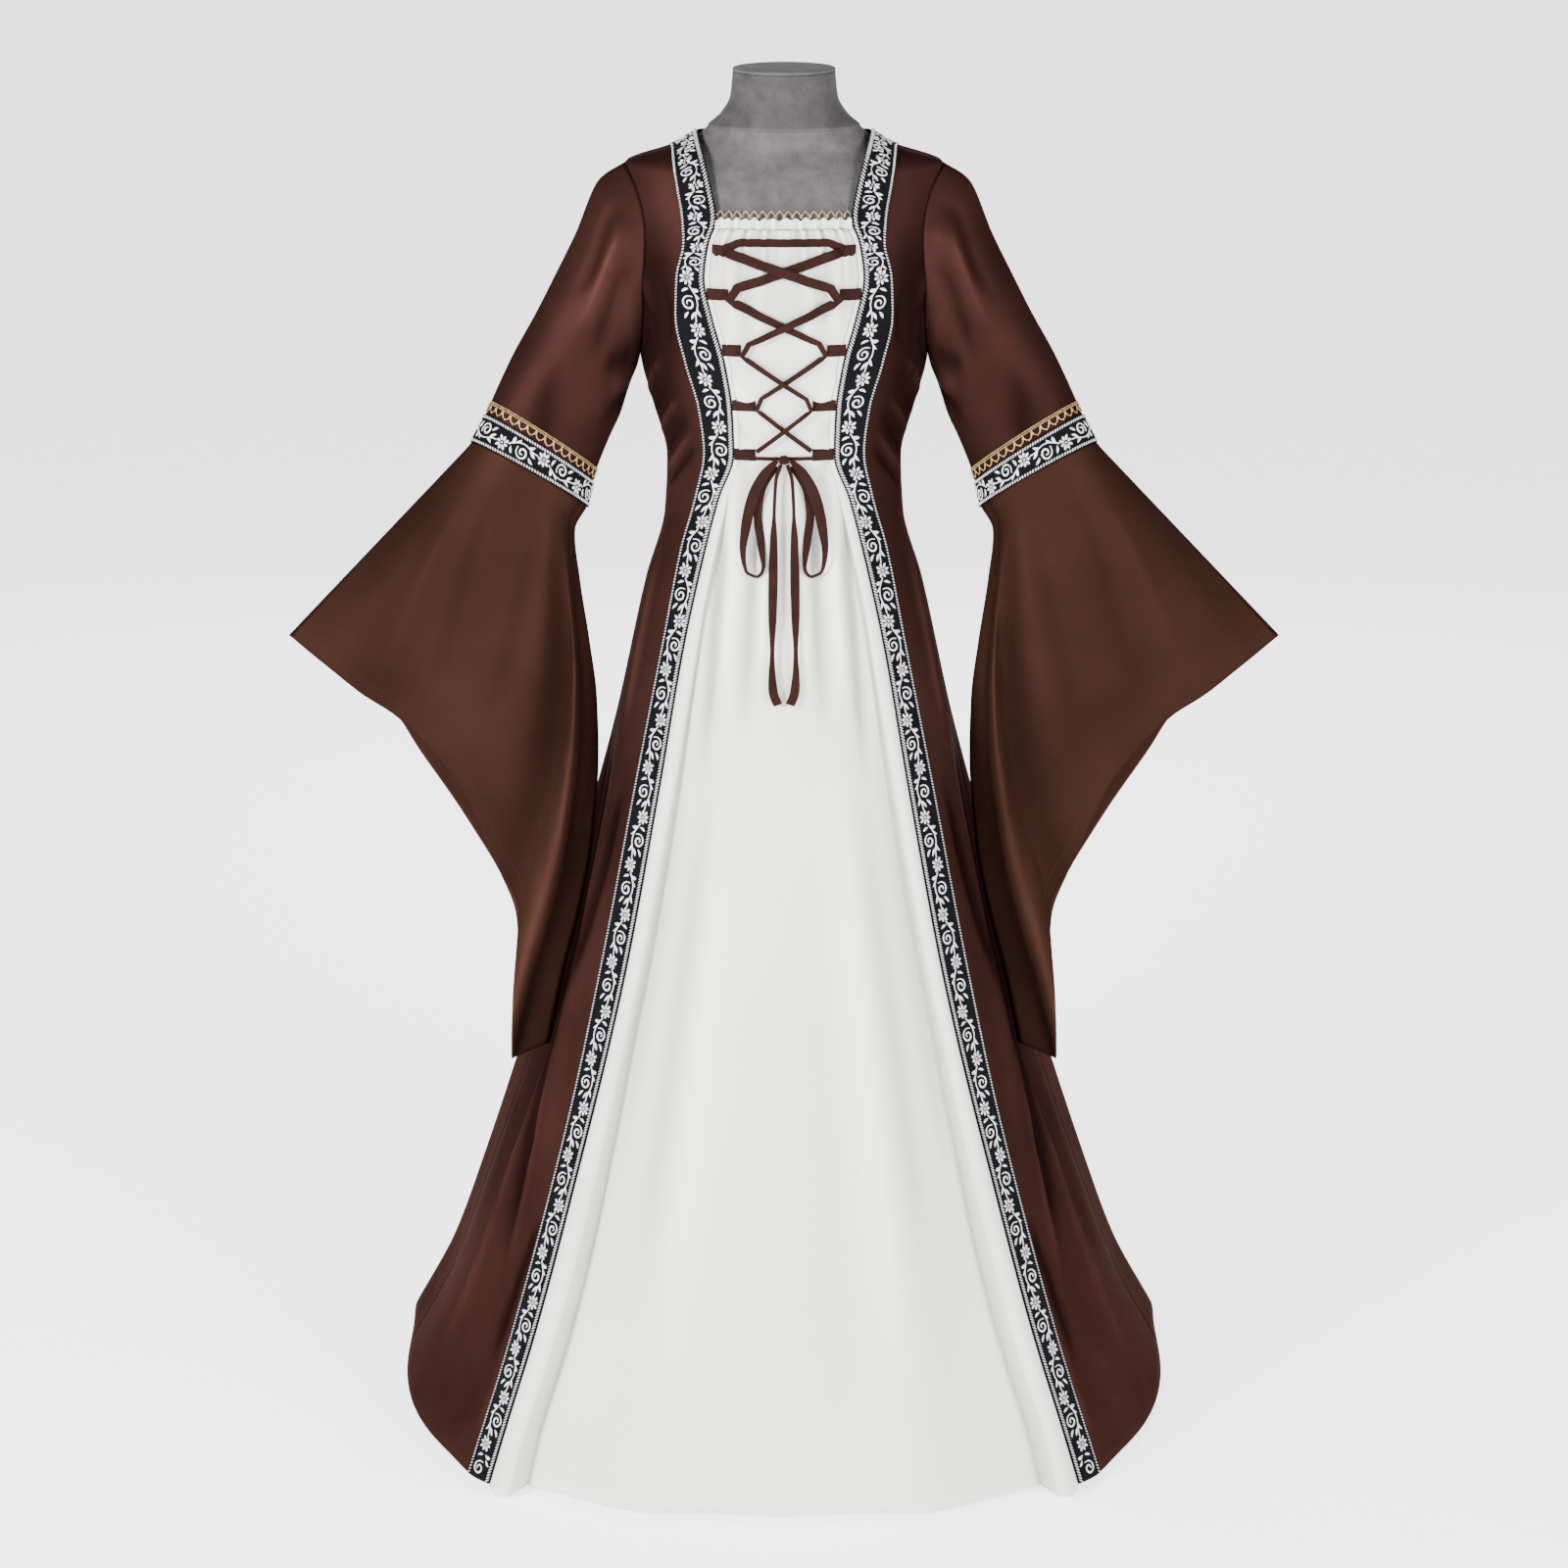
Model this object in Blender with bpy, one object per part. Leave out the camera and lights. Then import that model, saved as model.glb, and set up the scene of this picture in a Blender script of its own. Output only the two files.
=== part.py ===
"""Medieval gown on a limbless dress form.

The gown hangs round the form as walls of cloth: an ivory front, brown fronts
and back, two sleeves with bells, woven ribbon trims, gold lace and lacing.
Metres, +Z up, the front faces -Y, and the form's base stands on z = 0.
The wearer's left is at +X, and each right-hand piece mirrors the left.
"""

import math

import bmesh
import bpy
import numpy as np
from mathutils import Vector
from mathutils.bvhtree import BVHTree

# Cloth and seams
CLOTH = 0.0015
SEAM_GAP = 0.0003
HEM_Z = 0.008
SIDES = (("left", 1), ("right", -1))

# Armhole: a standing oval cut into the body's surface
ARMHOLE_TOP_Z = 1.408
ARMHOLE_LOW_Z = 1.200
ARMHOLE_HALF_DEPTH = 0.058
ARMHOLE_STEPS = 10

# Neckline
NECK_HALF_WIDTH = 0.0925
NECK_SIDE_Z = 1.442
NECK_BACK_Z = 1.428
PANEL_TOP_Z = 1.351
CASING_HEIGHT = 0.010
SHOULDER_BLEND_Z = 1.336

# Woven ribbon trim
RIBBON = 0.0012
PIPING = 0.0024
RIBBON_HEIGHTS = (PIPING, RIBBON, RIBBON, PIPING)

# Lace and lacing
LACE = 0.0010
LACE_HEIGHT = 0.0080
TAPE = 0.0008
TAPE_WIDTH = 0.0085
TAB_HEIGHT = 0.0115
TAPE_CLEARANCE = 0.0009
STRAND_CLEARANCE = {"left": 0.0029, "right": 0.0070}

# Dress form
NECK_TOP_Z = 1.505
CAP_THICKNESS = 0.003
TORSO_LOW_Z = 0.800
POLE_RADIUS = 0.014
BASE_RADIUS = 0.165
BASE_THICKNESS = 0.020

# Height, half width, depth in front, depth behind, middle, squareness
BODY = [
    (1.442, 0.0930, 0.056, 0.060, 0.000, 2.00),
    (1.427, 0.1200, 0.063, 0.070, 0.000, 2.05),
    (1.408, 0.1700, 0.076, 0.083, 0.000, 2.10),
    (1.360, 0.1680, 0.096, 0.097, 0.000, 2.20),
    (1.300, 0.1665, 0.115, 0.104, 0.000, 2.20),
    (1.250, 0.1600, 0.126, 0.103, 0.000, 2.20),
    (1.200, 0.1555, 0.122, 0.098, 0.000, 2.20),
    (1.150, 0.1425, 0.110, 0.090, 0.000, 2.20),
    (1.090, 0.1280, 0.101, 0.086, 0.000, 2.20),
    (1.030, 0.1310, 0.112, 0.098, 0.000, 2.20),
    (0.950, 0.1530, 0.136, 0.118, 0.005, 2.25),
    (0.800, 0.1860, 0.188, 0.150, 0.020, 2.30),
    (0.660, 0.2200, 0.236, 0.185, 0.045, 2.40),
    (0.500, 0.2630, 0.288, 0.225, 0.055, 2.40),
    (0.350, 0.3050, 0.338, 0.275, 0.050, 2.40),
    (0.200, 0.3550, 0.392, 0.325, 0.040, 2.40),
    (0.100, 0.3930, 0.424, 0.356, 0.035, 2.35),
    (0.000, 0.4480, 0.455, 0.392, 0.030, 2.30),
]

# Height, trim's inner edge, trim's outer edge, as distances from the middle
TRIM = [
    (1.445, 0.0925, 0.1230),
    (1.390, 0.0763, 0.1135),
    (1.360, 0.0712, 0.1080),
    (1.335, 0.0795, 0.1065),
    (1.300, 0.0840, 0.1138),
    (1.260, 0.0755, 0.1150),
    (1.210, 0.0620, 0.1050),
    (1.160, 0.0550, 0.0915),
    (1.110, 0.0535, 0.0862),
    (1.060, 0.0700, 0.0953),
    (1.000, 0.0858, 0.1115),
    (0.900, 0.1083, 0.1313),
    (0.750, 0.1348, 0.1610),
    (0.550, 0.1725, 0.2000),
    (0.350, 0.2205, 0.2440),
    (0.150, 0.2715, 0.2955),
    (0.000, 0.3190, 0.3430),
]

# Height, width of the ivory pleat beside the trim, depth of the panel next to it
# and in the middle, and how far the pleat's free edge stands out
PLEAT = [
    (1.370, 0.0060, 0.000, 0.000, 0.000),
    (1.100, 0.0060, 0.000, 0.000, 0.000),
    (1.050, 0.0104, 0.003, 0.001, 0.000),
    (0.960, 0.0118, 0.007, 0.002, 0.000),
    (0.870, 0.0141, 0.010, 0.003, 0.000),
    (0.500, 0.0140, 0.018, 0.005, 0.001),
    (0.370, 0.0175, 0.023, 0.006, 0.003),
    (0.250, 0.0205, 0.026, 0.011, 0.007),
    (0.080, 0.0220, 0.022, 0.020, 0.014),
    (0.000, 0.0290, 0.018, 0.027, 0.020),
]

# Folds of the skirt, by the angle round the body from the middle of the front:
# top, fullest and low height, angle at the top and at the low end, outward
# depth, spread in degrees and the share of the depth kept at the low end
FOLDS = [
    (0.820, 0.520, 0.120, 84, 77, -0.040, 8.0, 0.0),
    (0.600, 0.330, 0.060, 64, 71, 0.008, 5.0, 0.0),
    (0.700, 0.420, 0.180, 66, 53, 0.006, 4.0, 0.0),
    (0.450, 0.060, 0.000, 46, 45, 0.011, 7.0, 1.0),
    (0.950, 0.300, 0.000, 24, 19, 0.007, 6.0, 1.0),
    (0.950, 0.300, 0.000, 8, 9, -0.006, 5.0, 1.0),
    (0.980, 0.250, 0.000, 104, 106, 0.016, 8.0, 1.0),
    (0.950, 0.200, 0.000, 119, 121, -0.020, 7.0, 0.9),
    (1.000, 0.250, 0.000, 134, 136, 0.018, 8.0, 1.0),
    (0.930, 0.220, 0.000, 149, 152, -0.018, 7.0, 1.0),
    (1.000, 0.250, 0.000, 165, 166, 0.014, 7.0, 0.8),
    (0.960, 0.250, 0.000, 180, 180, -0.016, 7.0, 1.0),
]

# Heights of the body's rows below the armhole
LOW_ROWS = (1.172, 1.143, 1.115, 1.090, 1.060, 1.015, 0.955, 0.880, 0.790, 0.700,
            0.610, 0.520, 0.430, 0.340, 0.250, 0.160, 0.080, HEM_Z)

# Lanes from one edge of a piece, 0, to the other, 1
TRIM_LANES = (0.0, 0.16, 0.84, 1.0)
FRONT_LANES = (0.13, 0.27, 0.41, 0.55, 0.69, 0.84, 1.0)
BACK_LANES = (0.0, 0.11, 0.23, 0.35, 0.465, 0.59, 0.72, 0.86, 1.0)
PANEL_LANES = (0.0, 0.22, 0.44, 0.66, 0.86, 1.0)
PLEAT_LANES = (0.0, 1.0)

# Upper sleeve's rings: outer x and z, inner x and z, middle y, half depth and
# how far the ring's front is lifted
SLEEVE = [
    (0.1700, 1.408, 0.1555, 1.200, 0.000, 0.058, 0.000),
    (0.1975, 1.390, 0.1590, 1.188, -0.001, 0.063, 0.002),
    (0.2240, 1.332, 0.1660, 1.172, -0.003, 0.062, 0.005),
    (0.2455, 1.290, 0.1715, 1.156, -0.006, 0.060, 0.008),
    (0.2680, 1.247, 0.1780, 1.137, -0.010, 0.057, 0.011),
    (0.2930, 1.203, 0.1895, 1.113, -0.014, 0.054, 0.014),
    (0.3160, 1.155, 0.2030, 1.081, -0.018, 0.051, 0.017),
    (0.3240, 1.137, 0.2090, 1.064, -0.020, 0.050, 0.018),
    (0.3320, 1.122, 0.2120, 1.050, -0.021, 0.050, 0.018),
    (0.3394, 1.1076, 0.2152, 1.0362, -0.022, 0.050, 0.018),
]
LACE_RING = 6
BAND_TOP = 7
BAND_LOW = 9

# Bell's opening, front half from the outer corner to the inner end: share, x, y, z
OPENING_FRONT = [
    (0.00, 0.550, 0.000, 0.885),
    (0.12, 0.506, -0.028, 0.857),
    (0.25, 0.464, -0.042, 0.827),
    (0.36, 0.431, -0.048, 0.807),
    (0.45, 0.408, -0.052, 0.786),
    (0.60, 0.365, -0.054, 0.733),
    (0.67, 0.346, -0.054, 0.694),
    (0.72, 0.323, -0.054, 0.634),
    (0.79, 0.299, -0.054, 0.572),
    (0.86, 0.306, -0.054, 0.475),
    (0.93, 0.308, -0.051, 0.402),
    (1.00, 0.266, -0.038, 0.416),
]
# The same for the back half, which hangs a little further out
OPENING_BACK = [
    (0.00, 0.550, 0.000, 0.885),
    (0.12, 0.509, 0.014, 0.850),
    (0.25, 0.466, 0.018, 0.815),
    (0.36, 0.434, 0.018, 0.786),
    (0.45, 0.412, 0.016, 0.750),
    (0.60, 0.366, 0.010, 0.681),
    (0.67, 0.344, 0.006, 0.644),
    (0.72, 0.321, 0.002, 0.600),
    (0.79, 0.303, -0.004, 0.545),
    (0.86, 0.301, -0.008, 0.475),
    (0.93, 0.300, -0.012, 0.412),
    (1.00, 0.266, -0.038, 0.416),
]
BELL_COLUMNS = 28
# Share of the way down, shift of the bell's inner fold towards the outside
BELL_INNER = [
    (0.00, 0.000), (0.04, 0.011), (0.13, 0.002), (0.24, -0.013), (0.35, -0.026),
    (0.50, -0.033), (0.62, -0.032), (0.74, -0.024), (0.85, -0.012), (1.00, 0.000),
]
BELL_ROWS = (0.0, 0.04, 0.13, 0.25, 0.38, 0.52, 0.66, 0.80, 0.91, 1.0)
# Folds of the bell by the angle round it: angle, outward depth, spread in degrees
BELL_FOLDS = [(138, -0.012, 9), (157, 0.012, 8), (225, 0.010, 12), (200, -0.008, 10)]

# Lacing: height of each tab, its outer and its inner end
TABS = [
    (1.329, 0.0752, 0.0566),
    (1.2845, 0.0825, 0.0587),
    (1.2265, 0.0693, 0.0454),
    (1.1665, 0.0551, 0.0301),
    (1.1105, 0.0534, 0.0303),
]
# Width of the crossed tape at each tab: flat at the top, on its edge below
TAPE_WIDTHS = (0.0085, 0.0085, 0.0050, 0.0040, 0.0045)
# Bars of tape: name, its row of tabs, lift above that row, reach past the tabs'
# inner ends, distance out from the panel and width
BARS = [
    ("top", 0, 0.0090, 0.006, 0.0029, 0.0072),
    ("bottom", -1, -0.0035, 0.004, 0.0021, 0.0038),
]
KNOT = (0.0, 1.1065)
KNOT_HALF = (0.0055, 0.0035, 0.0050)
KNOT_OUT = 0.0032

# Bow's loop and tail on the wearer's left: x, z, distance out from the panel, width
LOOP_PATH = [
    (0.0072, 1.1062, 0.0064, 0.0036), (0.0200, 1.0930, 0.0115, 0.0060),
    (0.0320, 1.0700, 0.0130, 0.0070), (0.0400, 1.0400, 0.0130, 0.0065),
    (0.0440, 1.0100, 0.0115, 0.0050), (0.0400, 0.9870, 0.0095, 0.0040),
    (0.0300, 0.9820, 0.0080, 0.0040), (0.0220, 0.9940, 0.0065, 0.0040),
    (0.0250, 1.0200, 0.0058, 0.0045), (0.0280, 1.0450, 0.0055, 0.0050),
    (0.0240, 1.0720, 0.0055, 0.0050), (0.0130, 1.0910, 0.0052, 0.0045),
    (0.0066, 1.0985, 0.0050, 0.0035),
]
TAIL_PATH = [
    (0.0035, 1.1013, 0.0064, 0.0040), (0.0085, 1.0850, 0.0092, 0.0070),
    (0.0105, 1.0500, 0.0090, 0.0085), (0.0105, 1.0100, 0.0080, 0.0085),
    (0.0118, 0.9700, 0.0080, 0.0085), (0.0130, 0.9200, 0.0080, 0.0085),
    (0.0138, 0.8850, 0.0080, 0.0085), (0.0130, 0.8640, 0.0080, 0.0085),
    (0.0070, 0.8520, 0.0080, 0.0070),
]

# Dress form below the waist, and its neck: height, half width, front, back
FORM_HIPS = [
    (1.030, 0.1270, 0.103, 0.093),
    (0.970, 0.1400, 0.106, 0.105),
    (0.900, 0.1500, 0.104, 0.113),
    (0.840, 0.1500, 0.098, 0.110),
    (0.812, 0.1420, 0.090, 0.102),
    (TORSO_LOW_Z, 0.1280, 0.078, 0.090),
]
FORM_NECK = [
    (NECK_TOP_Z, 0.0545, 0.0530, 0.0530),
    (1.478, 0.0575, 0.0540, 0.0540),
    (1.460, 0.0680, 0.0555, 0.0560),
    (1.448, 0.0820, 0.0570, 0.0590),
]
# Rows of the form under the gown, with its clearance from the cloth
FORM_ROWS = [
    (1.434, 0.0070), (1.422, 0.0074), (1.405, 0.0064), (1.370, 0.0040), (1.335, 0.0036),
    (1.300, 0.0017), (1.260, 0.0017), (1.215, 0.0020), (1.170, 0.0025), (1.125, 0.0030),
    (1.085, 0.0030),
]
FORM_COLUMNS = 30

# Name, base colour, roughness, metallic
MATERIALS = {
    "brown_satin": ((0.075, 0.024, 0.020, 1), 0.50, 0.0),
    "ivory_cloth": ((0.820, 0.810, 0.780, 1), 0.75, 0.0),
    "woven_trim": ((0.120, 0.120, 0.130, 1), 0.60, 0.0),
    "gold_lace": ((0.450, 0.300, 0.120, 1), 0.50, 0.2),
    "brown_tape": ((0.060, 0.022, 0.018, 1), 0.55, 0.0),
    "grey_suede": ((0.270, 0.255, 0.250, 1), 0.90, 0.0),
    "painted_steel": ((0.080, 0.080, 0.085, 1), 0.40, 0.6),
}


class Track:
    """A smooth curve through a table's rows, read by their first column."""

    def __init__(self, rows):
        table = np.array(sorted(rows), dtype=float)
        self.keys = table[:, 0]
        self.values = table[:, 1:]
        steps = np.diff(self.keys)[:, None]
        slopes = np.diff(self.values, axis=0) / steps
        self.tangents = np.zeros_like(self.values)
        self.tangents[0], self.tangents[-1] = slopes[0], slopes[-1]
        before, after = slopes[:-1], slopes[1:]
        same_way = before * after > 0
        mean = 2 * before * after / np.where(same_way, before + after, 1)
        self.tangents[1:-1] = np.where(same_way, mean, 0)

    def __call__(self, key):
        key = min(max(key, self.keys[0]), self.keys[-1])
        i = min(int(np.searchsorted(self.keys, key, side="right")) - 1, len(self.keys) - 2)
        step = self.keys[i + 1] - self.keys[i]
        t = (key - self.keys[i]) / step
        start = (1 + 2 * t) * (1 - t) ** 2 * self.values[i]
        start = start + t * (1 - t) ** 2 * step * self.tangents[i]
        end = t * t * (3 - 2 * t) * self.values[i + 1]
        return start + end + t * t * (t - 1) * step * self.tangents[i + 1]


body_at = Track(BODY)
trim_at = Track(TRIM)
pleat_at = Track(PLEAT)
sleeve_at = Track([(i, *row) for i, row in enumerate(SLEEVE)])
opening_front_at = Track(OPENING_FRONT)
opening_back_at = Track(OPENING_BACK)
bell_inner_at = Track(BELL_INNER)


def mix(a, b, share):
    return a + (b - a) * share


def ease(share):
    share = min(max(share, 0.0), 1.0)
    return share * share * (3 - 2 * share)


def unit(vectors):
    return vectors / np.linalg.norm(vectors, axis=-1, keepdims=True)


def power(value, exponent):
    return math.copysign(abs(value) ** exponent, value)


def fold_depth(angle, z):
    """How far the skirt's folds move the surface out at this place."""
    degrees = math.degrees(angle)
    total = 0.0
    for top, full, low, angle_top, angle_low, depth, spread, kept in FOLDS:
        if z >= top:
            continue
        along = (top - max(z, low)) / (top - low)
        if z > full:
            strength = ease((top - z) / (top - full))
        else:
            strength = mix(1.0, kept, ease((full - max(z, low)) / (full - low)))
        offset = (abs(degrees) - mix(angle_top, angle_low, along)) / spread
        total += depth * strength * math.exp(-offset * offset)
    return total


def body_point(angle, z, sink=0.0):
    """The gown's outer surface at an angle from the middle of the front."""
    half_width, front, back, middle, squareness = body_at(z)
    across, ahead = math.sin(angle), math.cos(angle)
    depth = front if ahead > 0 else back
    x = half_width * power(across, 2 / squareness)
    y = -depth * power(ahead, 2 / squareness)
    normal_x = power(x / half_width, squareness - 1) / half_width
    normal_y = power(y / depth, squareness - 1) / depth
    move = (fold_depth(angle, z) - sink) / math.hypot(normal_x, normal_y)
    return np.array((x + normal_x * move, middle + y + normal_y * move, z))


def body_normal(angle, z, sink=0.0):
    step = 0.002
    along = body_point(angle + step, z, sink) - body_point(angle - step, z, sink)
    up = body_point(angle, z + step, sink) - body_point(angle, z - step, sink)
    return unit(np.cross(along, up))


def angle_at(x, z):
    half_width, squareness = body_at(z)[[0, 4]]
    return math.asin(min(x / half_width, 1.0) ** (squareness / 2))


def ridge_z(x):
    """Height of the shoulder's ridge where the body is x wide."""
    low, high = ARMHOLE_TOP_Z, NECK_SIDE_Z
    for _ in range(40):
        middle = (low + high) / 2
        if body_at(middle)[0] > x:
            low = middle
        else:
            high = middle
    return (low + high) / 2


def armhole_angle(turn):
    """Angle round the body of the armhole, at a turn from its top to its front."""
    z = mix(ARMHOLE_LOW_Z, ARMHOLE_TOP_Z, (1 + math.cos(turn)) / 2)
    front, back, squareness = body_at(z)[[1, 2, 4]]
    y = ARMHOLE_HALF_DEPTH * math.sin(turn)
    depth = front if y > 0 else back
    lean = math.acos(min(abs(y) / depth, 1.0) ** (squareness / 2))
    return (lean if y > 0 else math.pi - lean), z


def armhole_point(turn):
    return body_point(*armhole_angle(turn))


def grid_normals(points, around):
    """Outward normals of a grid of points, from its rows and columns."""
    if around:
        along = np.roll(points, -1, axis=1) - np.roll(points, 1, axis=1)
    else:
        along = np.gradient(points, axis=1)
    down = np.gradient(points, axis=0)
    return unit(np.cross(down, along))


def outward(normals, rings):
    """The normals of a tube, turned so that they point away from its middle."""
    away = rings - rings.mean(axis=1, keepdims=True)
    return normals if (normals * away).sum() > 0 else -normals


def in_plane(normals, ring):
    """The normals of one ring, laid into the ring's own plane."""
    quarter = len(ring) // 4
    centre = ring.mean(axis=0)
    axis = unit(np.cross(ring[0] - centre, ring[quarter] - centre))
    return unit(normals - (normals @ axis)[:, None] * axis)


def make_object(name, vertices, faces, material):
    mesh = bpy.data.meshes.new(name)
    mesh.from_pydata([tuple(v) for v in vertices], [], faces)
    shape = bmesh.new()
    shape.from_mesh(mesh)
    bmesh.ops.recalc_face_normals(shape, faces=shape.faces)
    shape.to_mesh(mesh)
    shape.free()
    mesh.materials.append(bpy.data.materials[material])
    mesh.shade_smooth()
    mesh.set_sharp_from_angle(angle=math.radians(40))
    made = bpy.data.objects.new(name, mesh)
    bpy.context.scene.collection.objects.link(made)
    return made


def wall(name, outer, inner, material, around=False):
    """A closed wall of cloth between two grids of points, cut along like diagonals."""
    rows, columns = outer.shape[:2]
    vertices = np.concatenate((outer.reshape(-1, 3), inner.reshape(-1, 3)))
    inside = rows * columns
    last = columns if around else columns - 1
    faces = []

    def corner(row, column):
        return row * columns + column % columns

    for row in range(rows - 1):
        for column in range(last):
            a, b = corner(row, column), corner(row, column + 1)
            c, d = corner(row + 1, column + 1), corner(row + 1, column)
            faces += [(a, b, c), (a, c, d)]
            faces += [(inside + c, inside + b, inside + a), (inside + d, inside + c, inside + a)]
    for row in (0, rows - 1):
        for column in range(last):
            a, b = corner(row, column), corner(row, column + 1)
            faces.append((a, b, inside + b, inside + a))
    if not around:
        for column in (0, columns - 1):
            for row in range(rows - 1):
                a, b = corner(row, column), corner(row + 1, column)
                faces.append((a, b, inside + b, inside + a))
    return make_object(name, vertices, faces, material)


def loft(name, rings, material):
    """A solid through rings of points, with a flat end at each side."""
    rings = np.array(rings)
    count, columns = rings.shape[:2]
    faces = []
    for ring in range(count - 1):
        for column in range(columns):
            after = (column + 1) % columns
            faces.append((ring * columns + column, ring * columns + after,
                          (ring + 1) * columns + after, (ring + 1) * columns + column))
    faces.append(tuple(range(columns)))
    faces.append(tuple((count - 1) * columns + c for c in range(columns)))
    return make_object(name, rings.reshape(-1, 3), faces, material)


def mirrored(points, side):
    return points * np.array((side, 1, 1))


def body_rows():
    """The armhole's turn and height for the high rows, and heights below them."""
    turns = [math.pi * k / ARMHOLE_STEPS for k in range(ARMHOLE_STEPS + 1)]
    return [(turn, armhole_angle(turn)[1]) for turn in turns] + [(None, z) for z in LOW_ROWS]


def lifted(z, top):
    """Height of a row in a lane whose top end stands at another height."""
    share = (z - SHOULDER_BLEND_Z) / (ARMHOLE_TOP_Z - SHOULDER_BLEND_Z)
    return z + (top - ARMHOLE_TOP_Z) * min(max(share, 0.0), 1.0)


def front_places():
    """Angle and height of each point of the left front, from the trim to the side."""
    half_width = body_at(ARMHOLE_TOP_Z)[0]
    inner_top, outer_top = trim_at(NECK_SIDE_Z)
    tops = [ridge_z(mix(inner_top, outer_top, lane)) for lane in TRIM_LANES]
    tops += [ridge_z(mix(outer_top, half_width, lane)) for lane in FRONT_LANES]
    places = []
    for turn, row_z in body_rows():
        row = []
        for column, top in enumerate(tops):
            z = lifted(row_z, top)
            inner, outer = trim_at(z)
            if column < len(TRIM_LANES):
                angle = angle_at(mix(inner, outer, TRIM_LANES[column]), z)
            else:
                lane = FRONT_LANES[column - len(TRIM_LANES)]
                edge, edge_x = math.pi / 2, body_at(z)[0]
                if turn is not None:
                    edge = armhole_angle(turn)[0]
                    edge_x = armhole_point(turn)[0]
                even = mix(angle_at(outer, z), edge, lane)
                across = angle_at(mix(outer, edge_x, lane), z)
                angle = mix(even, across, ease((z - ARMHOLE_LOW_Z) / 0.1))
                if lane == 1.0:
                    angle = edge
            if turn == 0:
                angle = math.pi / 2
            row.append((angle, z))
        places.append(row)
    return places


def back_places():
    """Angle and height of each point of the back's left half, from side to middle."""
    half_width = body_at(ARMHOLE_TOP_Z)[0]
    places = []
    for turn, row_z in body_rows():
        row = []
        for lane in BACK_LANES:
            top_x = half_width * (1 - lane)
            on_ridge = top_x >= NECK_HALF_WIDTH
            scoop = (top_x / NECK_HALF_WIDTH) ** 2
            top = ridge_z(top_x) if on_ridge else mix(NECK_BACK_Z, NECK_SIDE_Z, scoop)
            z = lifted(row_z, top)
            edge, edge_x = math.pi / 2, body_at(z)[0]
            if turn is not None:
                edge = armhole_angle(-turn)[0]
                edge_x = armhole_point(-turn)[0]
            even = mix(edge, math.pi, lane)
            across = math.pi - angle_at(edge_x * (1 - lane), z)
            angle = mix(even, across, ease((z - ARMHOLE_LOW_Z) / 0.1))
            if lane == 0.0:
                angle = edge
            if turn == 0 and on_ridge:
                angle = math.pi / 2
            row.append((angle, z))
        places.append(row)
    return places


def surface_grids(places, depth=CLOTH):
    """Outer points and inner points of a piece that lies on the body's surface."""
    outer = np.array([[body_point(*place) for place in row] for row in places])
    normals = np.array([[body_normal(*place) for place in row] for row in places])
    return outer, outer - normals * depth, normals


def make_fronts():
    """Both brown fronts and the woven trims that lie along their edges."""
    places = front_places()
    outer, inner, normals = surface_grids(places)
    shift = np.zeros(3)
    shift[1] = -SEAM_GAP / 2
    outer[:, -1] += shift
    inner[:, -1] += shift
    outer[0] += shift
    inner[0] += shift
    base, out = outer[:, :len(TRIM_LANES)], normals[:, :len(TRIM_LANES)]
    under = base + out * SEAM_GAP
    over = under + out * np.array(RIBBON_HEIGHTS)[None, :, None]
    for name, side in SIDES:
        wall(f"front_{name}", mirrored(outer, side), mirrored(inner, side), "brown_satin")
        wall(f"trim_front_{name}", mirrored(over, side), mirrored(under, side), "woven_trim")


def make_back():
    outer, inner, _ = surface_grids(back_places())
    for grid in (outer, inner):
        grid[:, 0, 1] += SEAM_GAP / 2
        grid[0, :, 1] += SEAM_GAP / 2
    whole_outer = np.concatenate((outer[:, :-1], mirrored(outer[:, ::-1], -1)), axis=1)
    whole_inner = np.concatenate((inner[:, :-1], mirrored(inner[:, ::-1], -1)), axis=1)
    whole_outer[:, len(BACK_LANES) - 1, 0] = 0
    whole_inner[:, len(BACK_LANES) - 1, 0] = 0
    wall("back", whole_outer, whole_inner, "brown_satin")


def panel_row(z):
    """One row of the ivory front's left half, from the middle to the trim."""
    width, depth, middle_depth, stand = pleat_at(z)
    trim_edge = trim_at(z)[0] - SEAM_GAP
    pleat_edge = trim_at(z)[0] - width
    points = []
    for lane in PANEL_LANES:
        sink = mix(middle_depth, depth, ease(lane))
        angle = angle_at(pleat_edge, z) * lane
        points.append(body_point(angle, z, sink))
    for lane in PLEAT_LANES:
        edge = mix(pleat_edge + CLOTH, trim_edge, lane)
        points.append(body_point(angle_at(edge, z), z, stand * (lane - 1)))
    return points


def panel_heights():
    return [PANEL_TOP_Z] + [z for _, z in body_rows() if z < PANEL_TOP_Z - 0.01]


def panel_edge(z):
    """Where the ivory front really ends beside the trim, between two of its rows."""
    heights = panel_heights()[::-1]
    return float(np.interp(z, heights, [trim_at(row)[0] for row in heights])) - SEAM_GAP


def make_panel():
    """The ivory front, with its pleat standing proud beside each trim."""
    heights = panel_heights()
    half = np.array([panel_row(z) for z in heights])
    outer = np.concatenate((mirrored(half[:, :0:-1], -1), half), axis=1)
    normals = grid_normals(outer, around=False)
    for row, z in enumerate(heights):
        edge = body_normal(angle_at(trim_at(z)[0], z), z)
        normals[row, -1] = edge
        normals[row, 0] = mirrored(edge, -1)
    inner = outer - normals * CLOTH
    return wall("front_panel", outer, inner, "ivory_cloth")


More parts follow.
